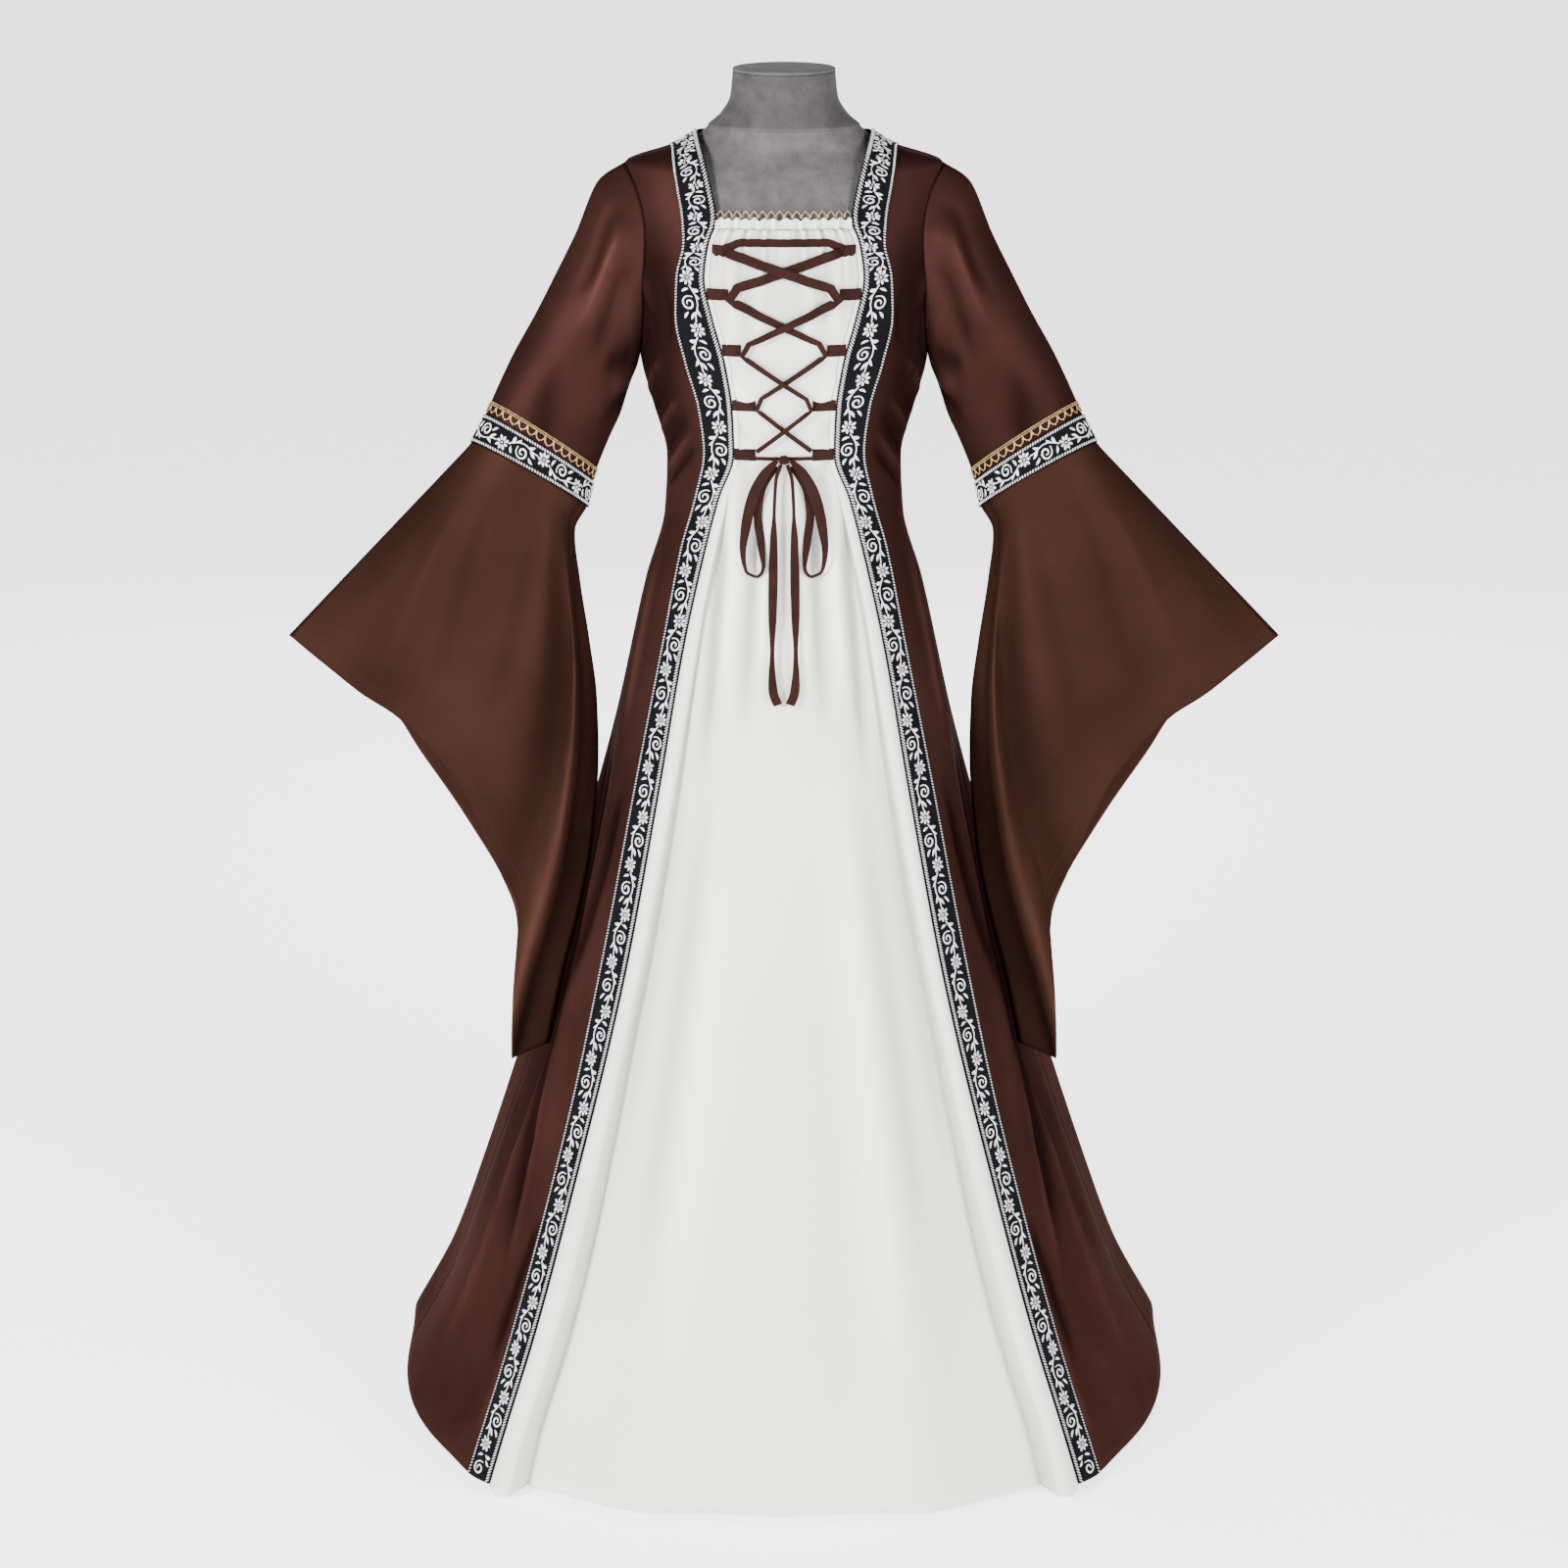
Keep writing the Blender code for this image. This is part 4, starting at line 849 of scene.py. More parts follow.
def scatter_tree():
    """Puts a motif on every point, turned and sized by the points' own attributes."""
    if "set motif on points" in bpy.data.node_groups:
        return bpy.data.node_groups["set motif on points"]
    tree = bpy.data.node_groups.new("set motif on points", "GeometryNodeTree")
    face = tree.interface
    face.new_socket(name="Points", in_out="INPUT", socket_type="NodeSocketGeometry")
    face.new_socket(name="Motif", in_out="INPUT", socket_type="NodeSocketObject")
    face.new_socket(name="Material", in_out="INPUT", socket_type="NodeSocketMaterial")
    face.new_socket(name="Size", in_out="INPUT", socket_type="NodeSocketFloat")
    face.new_socket(name="Result", in_out="OUTPUT", socket_type="NodeSocketGeometry")
    given, result = tree.nodes.new("NodeGroupInput"), tree.nodes.new("NodeGroupOutput")
    motif = add(tree, "GeometryNodeObjectInfo", {"Object": given.outputs["Motif"]})
    turn = add(tree, "GeometryNodeInputNamedAttribute", {"Name": "turn"},
               data_type="FLOAT_VECTOR")
    rotation = add(tree, "FunctionNodeEulerToRotation", {0: turn.outputs["Attribute"]})
    grow = add(tree, "GeometryNodeInputNamedAttribute", {"Name": "grow"},
               data_type="FLOAT_VECTOR")
    size = add(tree, "ShaderNodeVectorMath", {
        0: grow.outputs["Attribute"], "Scale": given.outputs["Size"]}, operation="SCALE")
    placed = add(tree, "GeometryNodeInstanceOnPoints", {
        "Points": given.outputs["Points"], "Instance": motif.outputs["Geometry"],
        "Rotation": rotation.outputs[0], "Scale": size.outputs["Vector"]})
    real = add(tree, "GeometryNodeRealizeInstances", {"Geometry": placed.outputs["Instances"]})
    painted = add(tree, "GeometryNodeSetMaterial", {
        "Geometry": real.outputs["Geometry"], "Material": given.outputs["Material"]})
    tree.links.new(painted.outputs["Geometry"], result.inputs["Result"])
    return tree


def scatter(name, motif, places, paint, size=1.0):
    """A plain mesh of a motif at places: point, along, out and a size for each."""
    tree = scatter_tree()
    mesh = bpy.data.meshes.new(name + "_points")
    mesh.from_pydata([tuple(p[0]) for p in places], [], [])
    turns, grows = [], []
    for _, along, out, grow in places:
        along, out = Vector(along).normalized(), Vector(out).normalized()
        across = out.cross(along).normalized()
        turn = Matrix((along, across, along.cross(across))).transposed().to_euler()
        turns += list(turn)
        grows += list(grow)
    mesh.attributes.new("turn", "FLOAT_VECTOR", "POINT").data.foreach_set("vector", turns)
    mesh.attributes.new("grow", "FLOAT_VECTOR", "POINT").data.foreach_set("vector", grows)
    carrier = link(mesh, name + "_points")
    shape = carrier.modifiers.new("motif", "NODES")
    shape.node_group = tree
    values = {"Motif": motif, "Material": paint, "Size": size}
    for item in tree.interface.items_tree:
        if item.in_out == "INPUT" and item.name in values:
            shape[item.identifier] = values[item.name]
    bpy.context.view_layer.update()
    graph = bpy.context.evaluated_depsgraph_get()
    plain = bpy.data.meshes.new_from_object(carrier.evaluated_get(graph))
    plain.name = name
    made = link(plain, name)
    bpy.data.objects.remove(carrier, do_unlink=True)
    return made


def drop(thing):
    bpy.data.objects.remove(thing, do_unlink=True)


def bean(name, sides=6, rings=3, taper=0.9):
    """A small rounded stitch, 1 long along X, 1 wide and 1 high over its middle."""
    points, faces = [(-0.5, 0, 0)], []
    for ring in range(1, rings + 1):
        x = ring / (rings + 1) - 0.5
        r = 0.5 * math.sqrt(max(1 - (2 * x * taper) ** 2, 0))
        for k in range(sides):
            t = 2 * math.pi * k / sides
            points.append((x, r * math.cos(t), r * math.sin(t)))
    points.append((0.5, 0, 0))
    last = len(points) - 1
    for k in range(sides):
        after = (k + 1) % sides
        faces.append((0, 1 + after, 1 + k))
        for ring in range(rings - 1):
            a, b = 1 + ring * sides, 1 + (ring + 1) * sides
            faces.append((a + k, a + after, b + after, b + k))
        a = 1 + (rings - 1) * sides
        faces.append((last, a + k, a + after))
    return merged(name, [(points, faces)], material("silver thread"))


class Strip:
    """A ribbon's top face: lengths along it and shares across it turned to points."""

    def __init__(self, grid, normals, closed=False):
        if closed:
            grid = np.concatenate((grid, grid[:1]), axis=0)
            normals = np.concatenate((normals, normals[:1]), axis=0)
        self.grid, self.normals = grid, normals
        middle = grid[:, grid.shape[1] // 2]
        steps = np.linalg.norm(np.diff(middle, axis=0), axis=-1)
        self.lengths = np.concatenate(([0.0], np.cumsum(steps)))
        self.length = self.lengths[-1]
        self.widths = np.linalg.norm(grid[:, -1] - grid[:, 0], axis=-1)
        self.closed = closed

    def _read(self, table, s, share):
        s = s % self.length if self.closed else min(max(s, 0.0), self.length)
        row = min(int(np.searchsorted(self.lengths, s, side="right")) - 1, len(table) - 2)
        t = (s - self.lengths[row]) / (self.lengths[row + 1] - self.lengths[row])
        place = min(max(share, 0.0), 1.0) * (table.shape[1] - 1)
        column = min(int(place), table.shape[1] - 2)
        u = place - column
        near = mix(table[row, column], table[row, column + 1], u)
        far = mix(table[row + 1, column], table[row + 1, column + 1], u)
        return mix(near, far, t)

    def width(self, s):
        s = s % self.length if self.closed else s
        return float(np.interp(s, self.lengths, self.widths))

    def at(self, s, across, lift=0.0):
        """A point s along and across metres from the middle, lifted off the face."""
        share = 0.5 + across / self.width(s)
        return self._read(self.grid, s, share) + unit(
            self._read(self.normals, s, share)) * lift

    def out(self, s, across):
        return unit(self._read(self.normals, s, 0.5 + across / self.width(s)))


def stroke(strip, points, widths, height=0.0007, base=0.0002):
    """A raised thread stroke along points on a strip, thin at its two ends."""
    points = np.array(points, dtype=float)
    along = unit(np.gradient(points, axis=0))
    side = np.stack((-along[:, 1], along[:, 0]), axis=-1)
    corners = []
    for place, off, width in zip(points, side, widths):
        for reach, lift in ((-0.5, base), (-0.28, height), (0.28, height), (0.5, base)):
            s, across = place + off * width * reach
            corners.append(strip.at(s, across, lift))
    faces = []
    for row in range(len(points) - 1):
        for column in range(3):
            a = row * 4 + column
            faces.append((a, a + 1, a + 5, a + 4))
    return corners, faces


def curve_points(points, steps):
    track = Track([(i, *p) for i, p in enumerate(points)])
    return track(np.linspace(0, len(points) - 1, steps))


# Shares of a stroke's full width from its stalk end to its tip
LEAF = (0.15, 0.75, 1.0, 0.80, 0.10)
BUD = (0.20, 0.55, 1.0, 0.95, 0.25)
PETAL = (0.28, 0.62, 1.0, 0.92, 0.35)
# The motif in metres: along the ribbon and across it, for a flower on the near side
FLOWER_ACROSS = 0.0030
FLOWER_RADIUS = 0.0086
STEM = [(0.0078, 0.0008), (0.0140, -0.0030), (0.0205, -0.0062), (0.0275, -0.0070),
        (0.0345, -0.0052), (0.0410, -0.0034), (0.0470, -0.0030)]
CURL = (0.0272, 0.0026, 0.0084)
# Leaves and buds: stalk end along and across, way in radians, length, width, shape
SPRIGS = [
    (0.0360, -0.0046, 0.66, 0.0105, 0.0034, LEAF),
    (0.0325, -0.0058, -0.42, 0.0092, 0.0030, LEAF),
    (0.0365, 0.0040, 0.62, 0.0086, 0.0031, LEAF),
    (0.0112, -0.0018, -1.30, 0.0078, 0.0040, BUD),
    (0.0165, -0.0046, -0.75, 0.0078, 0.0028, LEAF),
    (0.0118, 0.0016, 1.18, 0.0082, 0.0030, LEAF),
]


def sprig(along, across, way, length, width, shape):
    """A leaf or bud with a slight bend: its points and its widths."""
    reach = np.linspace(0, 1, len(shape))
    bend = 0.25 * np.sin(reach * math.pi) * width
    points = np.stack((along + math.cos(way) * reach * length - math.sin(way) * bend,
                       across + math.sin(way) * reach * length + math.cos(way) * bend), axis=-1)
    return points, width * np.array(shape)


def flower():
    """Eight rounded petals of uneven length about a small heart."""
    shapes = []
    for petal in range(8):
        way = 0.2 + petal * math.pi / 4
        reach = FLOWER_RADIUS * (1.0 if petal % 2 else 0.88)
        radii = np.linspace(FLOWER_RADIUS * 0.30, reach, len(PETAL))
        points = np.stack((math.cos(way) * radii, FLOWER_ACROSS + math.sin(way) * radii), axis=-1)
        shapes.append((points, FLOWER_RADIUS * 0.37 * np.array(PETAL), 0.0008))
    heart = np.array([(x * FLOWER_RADIUS * 0.15, FLOWER_ACROSS) for x in (-1, -0.4, 0.4, 1)])
    shapes.append((heart, FLOWER_RADIUS * np.array((0.12, 0.26, 0.26, 0.12)), 0.0011))
    return shapes


def curl():
    """A tendril that winds in one and a half turns from its outer end."""
    along, across, radius = CURL
    shares = np.linspace(0, 1, 26)
    turn = -2.55 - shares * 2.9 * math.pi
    r = radius * (1 - 0.80 * shares ** 0.85)
    points = np.stack((along + r * np.cos(turn), across + r * np.sin(turn)), axis=-1)
    swell = np.sin(np.pi * np.clip(shares * 0.86 + 0.08, 0, 1))
    return points, 0.0019 * (0.40 + 0.75 * swell)


def motif():
    """The trim's repeat: flower, winding stem, curl, leaves and buds."""
    shapes = flower()
    shapes.append((curve_points(STEM, 16), np.full(16, 0.0014), 0.0007))
    shapes.append((*curl(), 0.0008))
    shapes += [(*sprig(*row), 0.0008) for row in SPRIGS]
    return shapes


def motif_strokes(strip, s, side, pitch, scale=1.0):
    """One repeat on a ribbon, drawn together along it where its pitch is short."""
    along = pitch / PITCH
    shapes = []
    for points, widths, height in motif():
        placed = points * np.array((along, side * scale)) + np.array((s, 0.0))
        low, high = placed[:, 0].min(), placed[:, 0].max()
        if strip.closed or (low > 0.001 and high < strip.length - 0.001):
            shapes.append(stroke(strip, placed, widths * (0.4 + 0.6 * along), height))
    return shapes


def edge_stitches(strip, across, pitch, slant, length, width):
    """Places of slanted stitches along one edge of a ribbon."""
    places = []
    for k in range(int(strip.length / pitch)):
        s = (k + 0.5) * pitch
        t = across(strip.width(s))
        out = strip.out(s, t)
        a, b = strip.at(s - 0.001, t), strip.at(s + 0.001, t)
        run = unit(b - a)
        sideways = np.cross(out, run)
        way = run * math.cos(slant) + sideways * math.sin(slant)
        places.append((strip.at(s, t, 0.0006), way, out, (length, width, width * 0.8)))
    return places


def dress_ribbon(name, strip, side, units, cords, scale=1.0):
    """Flowers and the slanted stitches of the two edge cords on one ribbon."""
    shapes = []
    for s, pitch, turn in units:
        shapes += motif_strokes(strip, s, turn, pitch, scale)
    flowers = merged(f"{name}_flowers", shapes, material("silver thread"))
    fix_normals(flowers)
    stitch = bean("stitch", 6, 2, 0.95)
    places = []
    for width, edge in zip(cords, (-1, 1)):
        places += edge_stitches(strip, lambda w, e=edge, c=width: e * (w - c) / 2, STITCH_PITCH,
                                STITCH_SLANT * side, width * 1.05, STITCH_WIDTH)
    edging = scatter(f"{name}_cords", stitch, places, material("silver cord"))
    drop(stitch)
    return [flowers, edging]


def fix_normals(thing, towards=None):
    """Turns every face of loose patches out, away from the body or along a way."""
    mesh = thing.data
    shape = bmesh.new()
    shape.from_mesh(mesh)
    for face in shape.faces:
        middle = face.calc_center_median()
        away = Vector((middle.x, middle.y, 0)) if towards is None else towards(middle)
        if face.normal.dot(away) < 0:
            face.normal_flip()
    shape.to_mesh(mesh)
    shape.free()


def finish_piece(piece, nodes=()):
    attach(piece, "root")
    if nodes:
        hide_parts(*nodes)
    return piece


# The gown's pieces

FRONT_TRIM_LANES = np.linspace(-1, 0, 9)
FRONT_SIDE_LANES = np.linspace(0, 1, 31)[1:]
BACK_LANES = np.linspace(0, 1, 61)


def body_shade(angle, z):
    """Painted shade and highlight of the brown body: creases, folds, under the arms, low sides."""
    degrees = np.degrees(angle)
    # Painted shade in the hollow under the arms
    painted_shade_under_arm = ease((z - 1.04) / 0.10) * ease((1.38 - z) / 0.08) * ease((degrees - 28) / 24)
    # Painted highlight low on the skirt's sides
    painted_light_low_side = ease((0.36 - z) / 0.2) * ease((degrees - 48) / 20)
    # Painted shade in the hollows of creases and folds, painted highlight on their crests
    painted_fold_shade = crease_depth(BODY_CREASES, angle, z) / 0.0026 + fold_depth(angle, z) / 0.030
    return painted_fold_shade * (1 - 0.4 * painted_shade_under_arm) - 0.95 * painted_shade_under_arm + 0.45 * painted_light_low_side


def make_fronts():
    """Brown fronts; gives the grid under each woven trim."""
    places = front_places(np.concatenate((FRONT_TRIM_LANES, FRONT_SIDE_LANES)))
    points = body(places[..., 0], places[..., 1], creases=BODY_CREASES)
    trim_lane = np.arange(points.shape[1]) < len(FRONT_TRIM_LANES)
    plain = body(places[..., 0], places[..., 1])
    blend = np.clip((np.arange(points.shape[1]) - len(FRONT_TRIM_LANES)) / 4, 0, 1)
    points = mix(plain, points, blend[None, :, None])
    points[:, -1, 1] -= SEAM_GAP / 2
    points[0, :, 1] -= SEAM_GAP / 2
    # Painted shade and highlight of the brown body
    shade = body_shade(places[..., 0], places[..., 1])
    for name, side in SIDES:
        front = cloth(f"cloth_front_{name}", mirrored(points, side), material("brown satin"),
                      shade=shade)
        finish_piece(front, [f"front_{name}"])
    return points[:, trim_lane]


def make_back():
    places = back_places(BACK_LANES)
    points = body(places[..., 0], places[..., 1], creases=BODY_CREASES)
    points[:, 0, 1] += SEAM_GAP / 2
    points[0, :, 1] += SEAM_GAP / 2
    whole = np.concatenate((points[:, :-1], mirrored(points[:, ::-1], -1)), axis=1)
    whole[:, points.shape[1] - 1, 0] = 0
    # Painted shade and highlight of the brown body, weaker on the back
    shade = body_shade(places[..., 0], places[..., 1]) * 0.7
    shade = np.concatenate((shade[:, :-1], shade[:, ::-1]), axis=1)
    back = cloth("cloth_back", whole, material("brown satin"), shade=shade)
    finish_piece(back, ["back"])


# The ivory front's gathers under the casing, their depth and how far down they fade,
# and how far the pleat's edge is undercut
GATHER_DEPTH = 0.0020
GATHER_FADE = 0.036
PLEAT_UNDERCUT = 0.0030


def panel_grid():
    """The ivory front from one trim to the other, with a rolled pleat beside each, and its painted
    shade.
    """
    heights = np.concatenate((np.linspace(PANEL_TOP_Z, LOW_TOP_Z, 34)[:-1], low_heights()))
    width, depth, middle_depth, stand = np.moveaxis(pleat_at(heights), -1, 0)
    trim_edge = trim_at(heights)[:, 0] - SEAM_GAP
    pleat_edge = trim_at(heights)[:, 0] - width
    # Painted shade over the bust, growing from the waist upwards
    bust = ease((heights - 1.07) / 0.06)
    # Painted shadow of the bow on the panel, between its loops
    painted_bow_shadow = ease((1.112 - heights) / 0.02) * ease((heights - 0.985) / 0.05)
    pleated = ease((TABS[-1][0] - heights) / 0.04)
    columns, shades = [], []
    for lane in np.linspace(0, 1, 41):
        sink = mix(middle_depth, depth, ease(lane))
        angle = angle_at(pleat_edge, heights) * lane
        gather = GATHER_DEPTH * np.exp(-(PANEL_TOP_Z - heights) / GATHER_FADE) * (
            1 + math.sin(lane * 31.0) + 0.7 * math.sin(lane * 53.0 + 1.0))
        columns.append(body(angle, heights, sink - gather, PANEL_CREASES))
        # Painted shade in the creases' hollows and highlight on their crests, shade and highlight
        # along the gathers, painted shade over the bust, the bow's painted shadow and painted
        # shade along the pleat's edge
        shades.append(crease_depth(PANEL_CREASES, angle, heights) / 0.0060
                      + (gather / 0.0030 - 0.5) * np.exp(-(PANEL_TOP_Z - heights) / 0.050)
                      - 0.28 * bust - painted_bow_shadow * 0.55 * np.exp(-(np.degrees(angle) / 10) ** 2)
                      - pleated * 0.35 * math.exp(-(1 - lane) / 0.03))
    under = PLEAT_UNDERCUT * pleated
    columns.append(body(angle_at(pleat_edge + under, heights), heights, depth + under * 0.5))
    # Painted shade in the recess under the pleat's edge
    shades.append(-1 + 0 * heights)
    for lane in np.linspace(0, 1, 13) ** 1.6:
        edge = mix(pleat_edge + CLOTH * 0.5, trim_edge, lane)
        roll = stand * (1 - lane) + 0.20 * (depth + stand) * math.sin(lane * math.pi)
        roll = roll - (0.0012 + 0.30 * depth) * math.exp(-lane / 0.10)
        columns.append(body(angle_at(edge, heights), heights, -roll))
        # Painted shade beside the trim, at the pleat's free edge and over the bust
        shades.append(0 * heights - 0.5 * math.exp(-(1 - lane) / 0.12)
                      - 0.6 * math.exp(-lane / 0.04) - 0.15 * bust)
    half, shade = np.stack(columns, axis=1), np.stack(shades, axis=1)
    return (np.concatenate((mirrored(half[:, :0:-1], -1), half), axis=1),
            np.concatenate((shade[:, :0:-1], shade), axis=1))


def make_panel():
    points, shade = panel_grid()
    panel = cloth("cloth_front_panel", points, material("ivory cloth"), shade=shade)
    finish_piece(panel, ["front_panel"])
    return panel


def make_casing():
    """The gathered edge of the ivory front, in small uneven puckers."""
    heights = np.linspace(PANEL_TOP_Z + SEAM_GAP, PANEL_TOP_Z + CASING_HEIGHT, 9)
    across = np.linspace(-1, 1, 181)
    edge = angle_at(trim_at(PANEL_TOP_Z)[0] - 2 * SEAM_GAP, PANEL_TOP_Z)
    angle, z = np.meshgrid(across * edge, heights)
    lift = (z - heights[0]) / (heights[-1] - heights[0])
    pucker = (np.sin(angle * 88) + 0.7 * np.sin(angle * 141 + 2.0)
              + 0.5 * np.sin(angle * 61 + 4.0))
    swell = 0.0011 * pucker * (0.6 + 0.4 * lift)
    points = body(angle, z, -swell)
    points[..., 2] += 0.0012 * lift * (np.sin(angle * 117 + 1.0) + 0.5 * np.sin(angle * 67))
    # Painted shade and highlight along the puckers
    casing = cloth("cloth_neck_casing", points, material("ivory cloth"), shade=0.25 * pucker)
    finish_piece(casing, ["neck_casing"])
    return casing


def sleeve_grid(rows, turns):
    """Rings of the upper sleeve; a turn of 0 is its outer side and 90 its front."""
    table = sleeve_at(rows)
    outer = np.stack((table[:, 0], table[:, 4], table[:, 1]), axis=-1)[:, None]
    inner = np.stack((table[:, 2], table[:, 4], table[:, 3]), axis=-1)[:, None]
    centre, arm = (outer + inner) / 2, (outer - inner) / 2
    front = np.stack((0 * table[:, 5], -table[:, 5], table[:, 6]), axis=-1)[:, None]
    turns = turns[None, :, None]
    return centre + arm * np.cos(turns) + front * np.sin(turns), centre


def around(count):
    return np.arange(count) * 2 * math.pi / count


def make_sleeves():
    """Upper sleeves; gives the band's grid for the woven trim and the lace's grid."""
    turns = around(4 * ARMHOLE_STEPS)
    rows = np.concatenate((np.linspace(0, BAND_TOP, 64), np.linspace(BAND_TOP, BAND_LOW, 13)[1:]))
    points, centre = sleeve_grid(rows, turns)
    armhole = body(*armhole_angle(turns))
    correction = armhole + np.array((2 * SEAM_GAP, 0, 0)) - points[0]
    fade = np.clip(1 - rows / 4, 0, 1) ** 2
    points = points + correction[None] * fade[:, None, None]
    degrees, ring = np.meshgrid(np.degrees(turns), rows)
    depth = np.zeros(degrees.shape)
    for amount, width, line in SLEEVE_CREASES:
        scaled = [(a / width, b * 1.6) for a, b in line]
        depth += amount * near_line(degrees / width, ring * 1.6, scaled, 1.0)
    normals = grid_normals(points, True)
    if (normals * (points - centre)).sum() < 0:
        normals = -normals
    settle = ease(rows / 0.6) * ease((BAND_TOP - rows) / 0.8)
    creased = points + normals * (depth * settle[:, None])[..., None]
    # Painted shade in the creases' hollows and highlight on their crests; painted light, lighter
    # at the shoulder and darker towards the elbow
    shade = depth * settle[:, None] / 0.0034 + mix(0.30, -0.45, rows / BAND_TOP)[:, None]
    for name, side in SIDES:
        sleeve = cloth(f"cloth_sleeve_{name}", mirrored(creased, side),
                       material("brown satin"), True, centre=mirrored(centre, side),
                       shade=shade)
        finish_piece(sleeve, [f"sleeve_upper_{name}"])
    band = rows >= BAND_TOP
    lace = (rows >= LACE_RING - 0.2) & (rows <= BAND_TOP + 0.01)
    return (points[band], normals[band]), (points[lace], normals[lace])


def bell_grid():
    turns = around(BELL_COLUMNS)
    shares = np.concatenate((np.linspace(0, 0.1, 12)[:-1], np.linspace(0.1, 1, BELL_STEPS)))
    starts, _ = sleeve_grid(np.array([float(BAND_LOW)]), turns)
    starts = starts[0]
    centre = starts.mean(axis=0)
    axis = unit(np.cross(starts[0] - centre, starts[len(turns) // 4] - centre))
    starts = starts - axis * math.copysign(2 * SEAM_GAP, axis[2])
    front_half = turns <= math.pi
    half = np.where(front_half, turns / math.pi, 2 - turns / math.pi)
    ends = np.where(front_half[:, None], opening_front_at(half), opening_back_at(half))
    share = shares[:, None, None]
    points = mix(starts[None], ends[None], share)
    inward = ((1 - np.cos(turns)) / 2) ** 4
    points[..., 0] += bell_inner_at(shares) * inward[None]
    belly = 0.012 * np.sin(math.pi * shares)[:, None] * np.sin(turns)[None]
    degrees = np.degrees(turns)
    fold = np.zeros(belly.shape)
    for angle, depth, spread in BELL_FOLDS:
        offset = (degrees - angle) / spread
        fold += depth * np.exp(-offset * offset)[None] * ease(shares / 0.45)[:, None]
    grid_turn, grid_share = np.meshgrid(degrees, shares)
    # Painted shade in the hollows of the folds and creases, painted highlight on their crests
    shade = fold / 0.016
    for depth, width, line in BELL_CREASES:
        scaled = [(a / width, b * 6) for a, b in line]
        crease_and_painted_shade = depth * near_line(grid_turn / width, grid_share * 6, scaled, 1.0) * (
            1 - ease((grid_share - 0.9) / 0.1))
        fold += crease_and_painted_shade
        shade = shade + crease_and_painted_shade / 0.0090
    points[..., 1] += -belly + np.where(front_half, -1, 1)[None] * fold
    # Painted shade over the whole bell and a painted highlight on its lower inner part
    shade = shade - 0.25 + 0.65 * ease((grid_share - 0.60) / 0.35) * ease((grid_turn - 120) / 40)
    return points, shade


def make_bells():
    points, shade = bell_grid()
    centre = points.mean(axis=1, keepdims=True)
    for name, side in SIDES:
        bell = cloth(f"cloth_bell_{name}", mirrored(points, side), material("brown bell"),
                     True, centre=mirrored(centre, side), shade=shade)
        finish_piece(bell, [f"sleeve_bell_{name}"])
        stitch = bean("stitch", 4, 2)
        places = []
        rim = points[-6] if side > 0 else mirrored(points[-6], -1)
        normals = grid_normals(mirrored(points, side), True)[-6]
        middle = mirrored(centre, side)[-6, 0]
        if (normals * (rim - middle)).sum() < 0:
            normals = -normals
        for a, b, out in zip(rim, np.roll(rim, -1, axis=0), normals):
            gap = np.linalg.norm(b - a)
            count = max(int(round(gap / RIM_PITCH)), 1)
            for k in range(count):
                places.append((mix(a, b, (k + 0.5) / count) + out * 0.0001, b - a, out,
                               RIM_STITCH))
        hem = scatter(f"bell_stitches_{name}", stitch, places, material("brown thread"))
        drop(stitch)
        finish_piece(hem)


def make_front_trims(grid):
    """Woven ribbons down both fronts."""
    normals = grid_normals(grid)
    if (normals * grid * np.array((1, 1, 0))).sum() < 0:
        normals = -normals
    top = grid + normals * (SEAM_GAP + RIBBON)
    heights = grid[:, 0, 2]
    for name, side in SIDES:
        ground = cloth(f"trim_front_{name}_ground", mirrored(top, side),
                       material("trim ground"), thickness=RIBBON_WALL)
        finish_piece(ground, [f"trim_front_{name}"])
        strip = Strip(mirrored(top, side), mirrored(normals, side))
        bust = float(np.interp(-BUST_Z, -heights, strip.lengths))
        units, s, turn = [], bust, 1
        while s > 0:
            s -= PITCH_HIGH
            turn = -turn
            units.append((s, PITCH_HIGH, turn))
        s, turn = bust, 1
        while s < strip.length:
            units.append((s, PITCH, turn))
            s += PITCH
            turn = -turn
        cords = (CORD_INNER, CORD_OUTER)
        pieces = dress_ribbon(f"trim_front_{name}", strip, side, units, cords, 1.08)
        for piece in pieces:
            finish_piece(piece)


def make_sleeve_trims(band):
    points, normals = band
    top = np.swapaxes(points + normals * (SEAM_GAP + RIBBON), 0, 1)
    turned = np.swapaxes(normals, 0, 1)
    for name, side in SIDES:
        ground = cloth(f"trim_sleeve_{name}_ground",
                       mirrored(np.swapaxes(top, 0, 1), side), material("trim ground"), True,
                       RIBBON_WALL, mirrored(points.mean(axis=1, keepdims=True), side))
        finish_piece(ground, [f"trim_sleeve_{name}"])
        strip = Strip(mirrored(top, side), mirrored(turned, side), closed=True)
        count = 2 * round(strip.length / 0.050 / 2)
        pitch = strip.length / count
        units = [(k * pitch + 0.01, pitch, 1 if k % 2 else -1) for k in range(count)]
        centre = Vector(mirrored(points.mean(axis=(0, 1)), side))
        cords = (CORD_SLEEVE, CORD_SLEEVE)
        pieces = dress_ribbon(f"trim_sleeve_{name}", strip, side, units, cords)
        fix_normals(pieces[0], lambda place: place - centre)
        for piece in pieces:
            finish_piece(piece)


# Lace, in metres: pitch and depth of the scallops, the scale of their cord's height,
# length, width and height of the beads and of the braid's stitches, the braid's pitch
SLEEVE_LACE = (0.0112, 0.0080)
NECK_LACE = (0.0090, 0.0078)
SCALLOP_CORD = 0.005
BEAD = (0.0022, 0.0016, 0.0014)
SMALL_BEAD = (0.0020, 0.0014, 0.0012)
BRAID_STITCH = (0.0028, 0.0010, 0.0010)
BRAID_PITCH = 0.0017
# Rows of the braid: height above the scallops and lean of the stitches
BRAID_ROWS = ((0.0010, 0.7), (0.0032, -0.7))


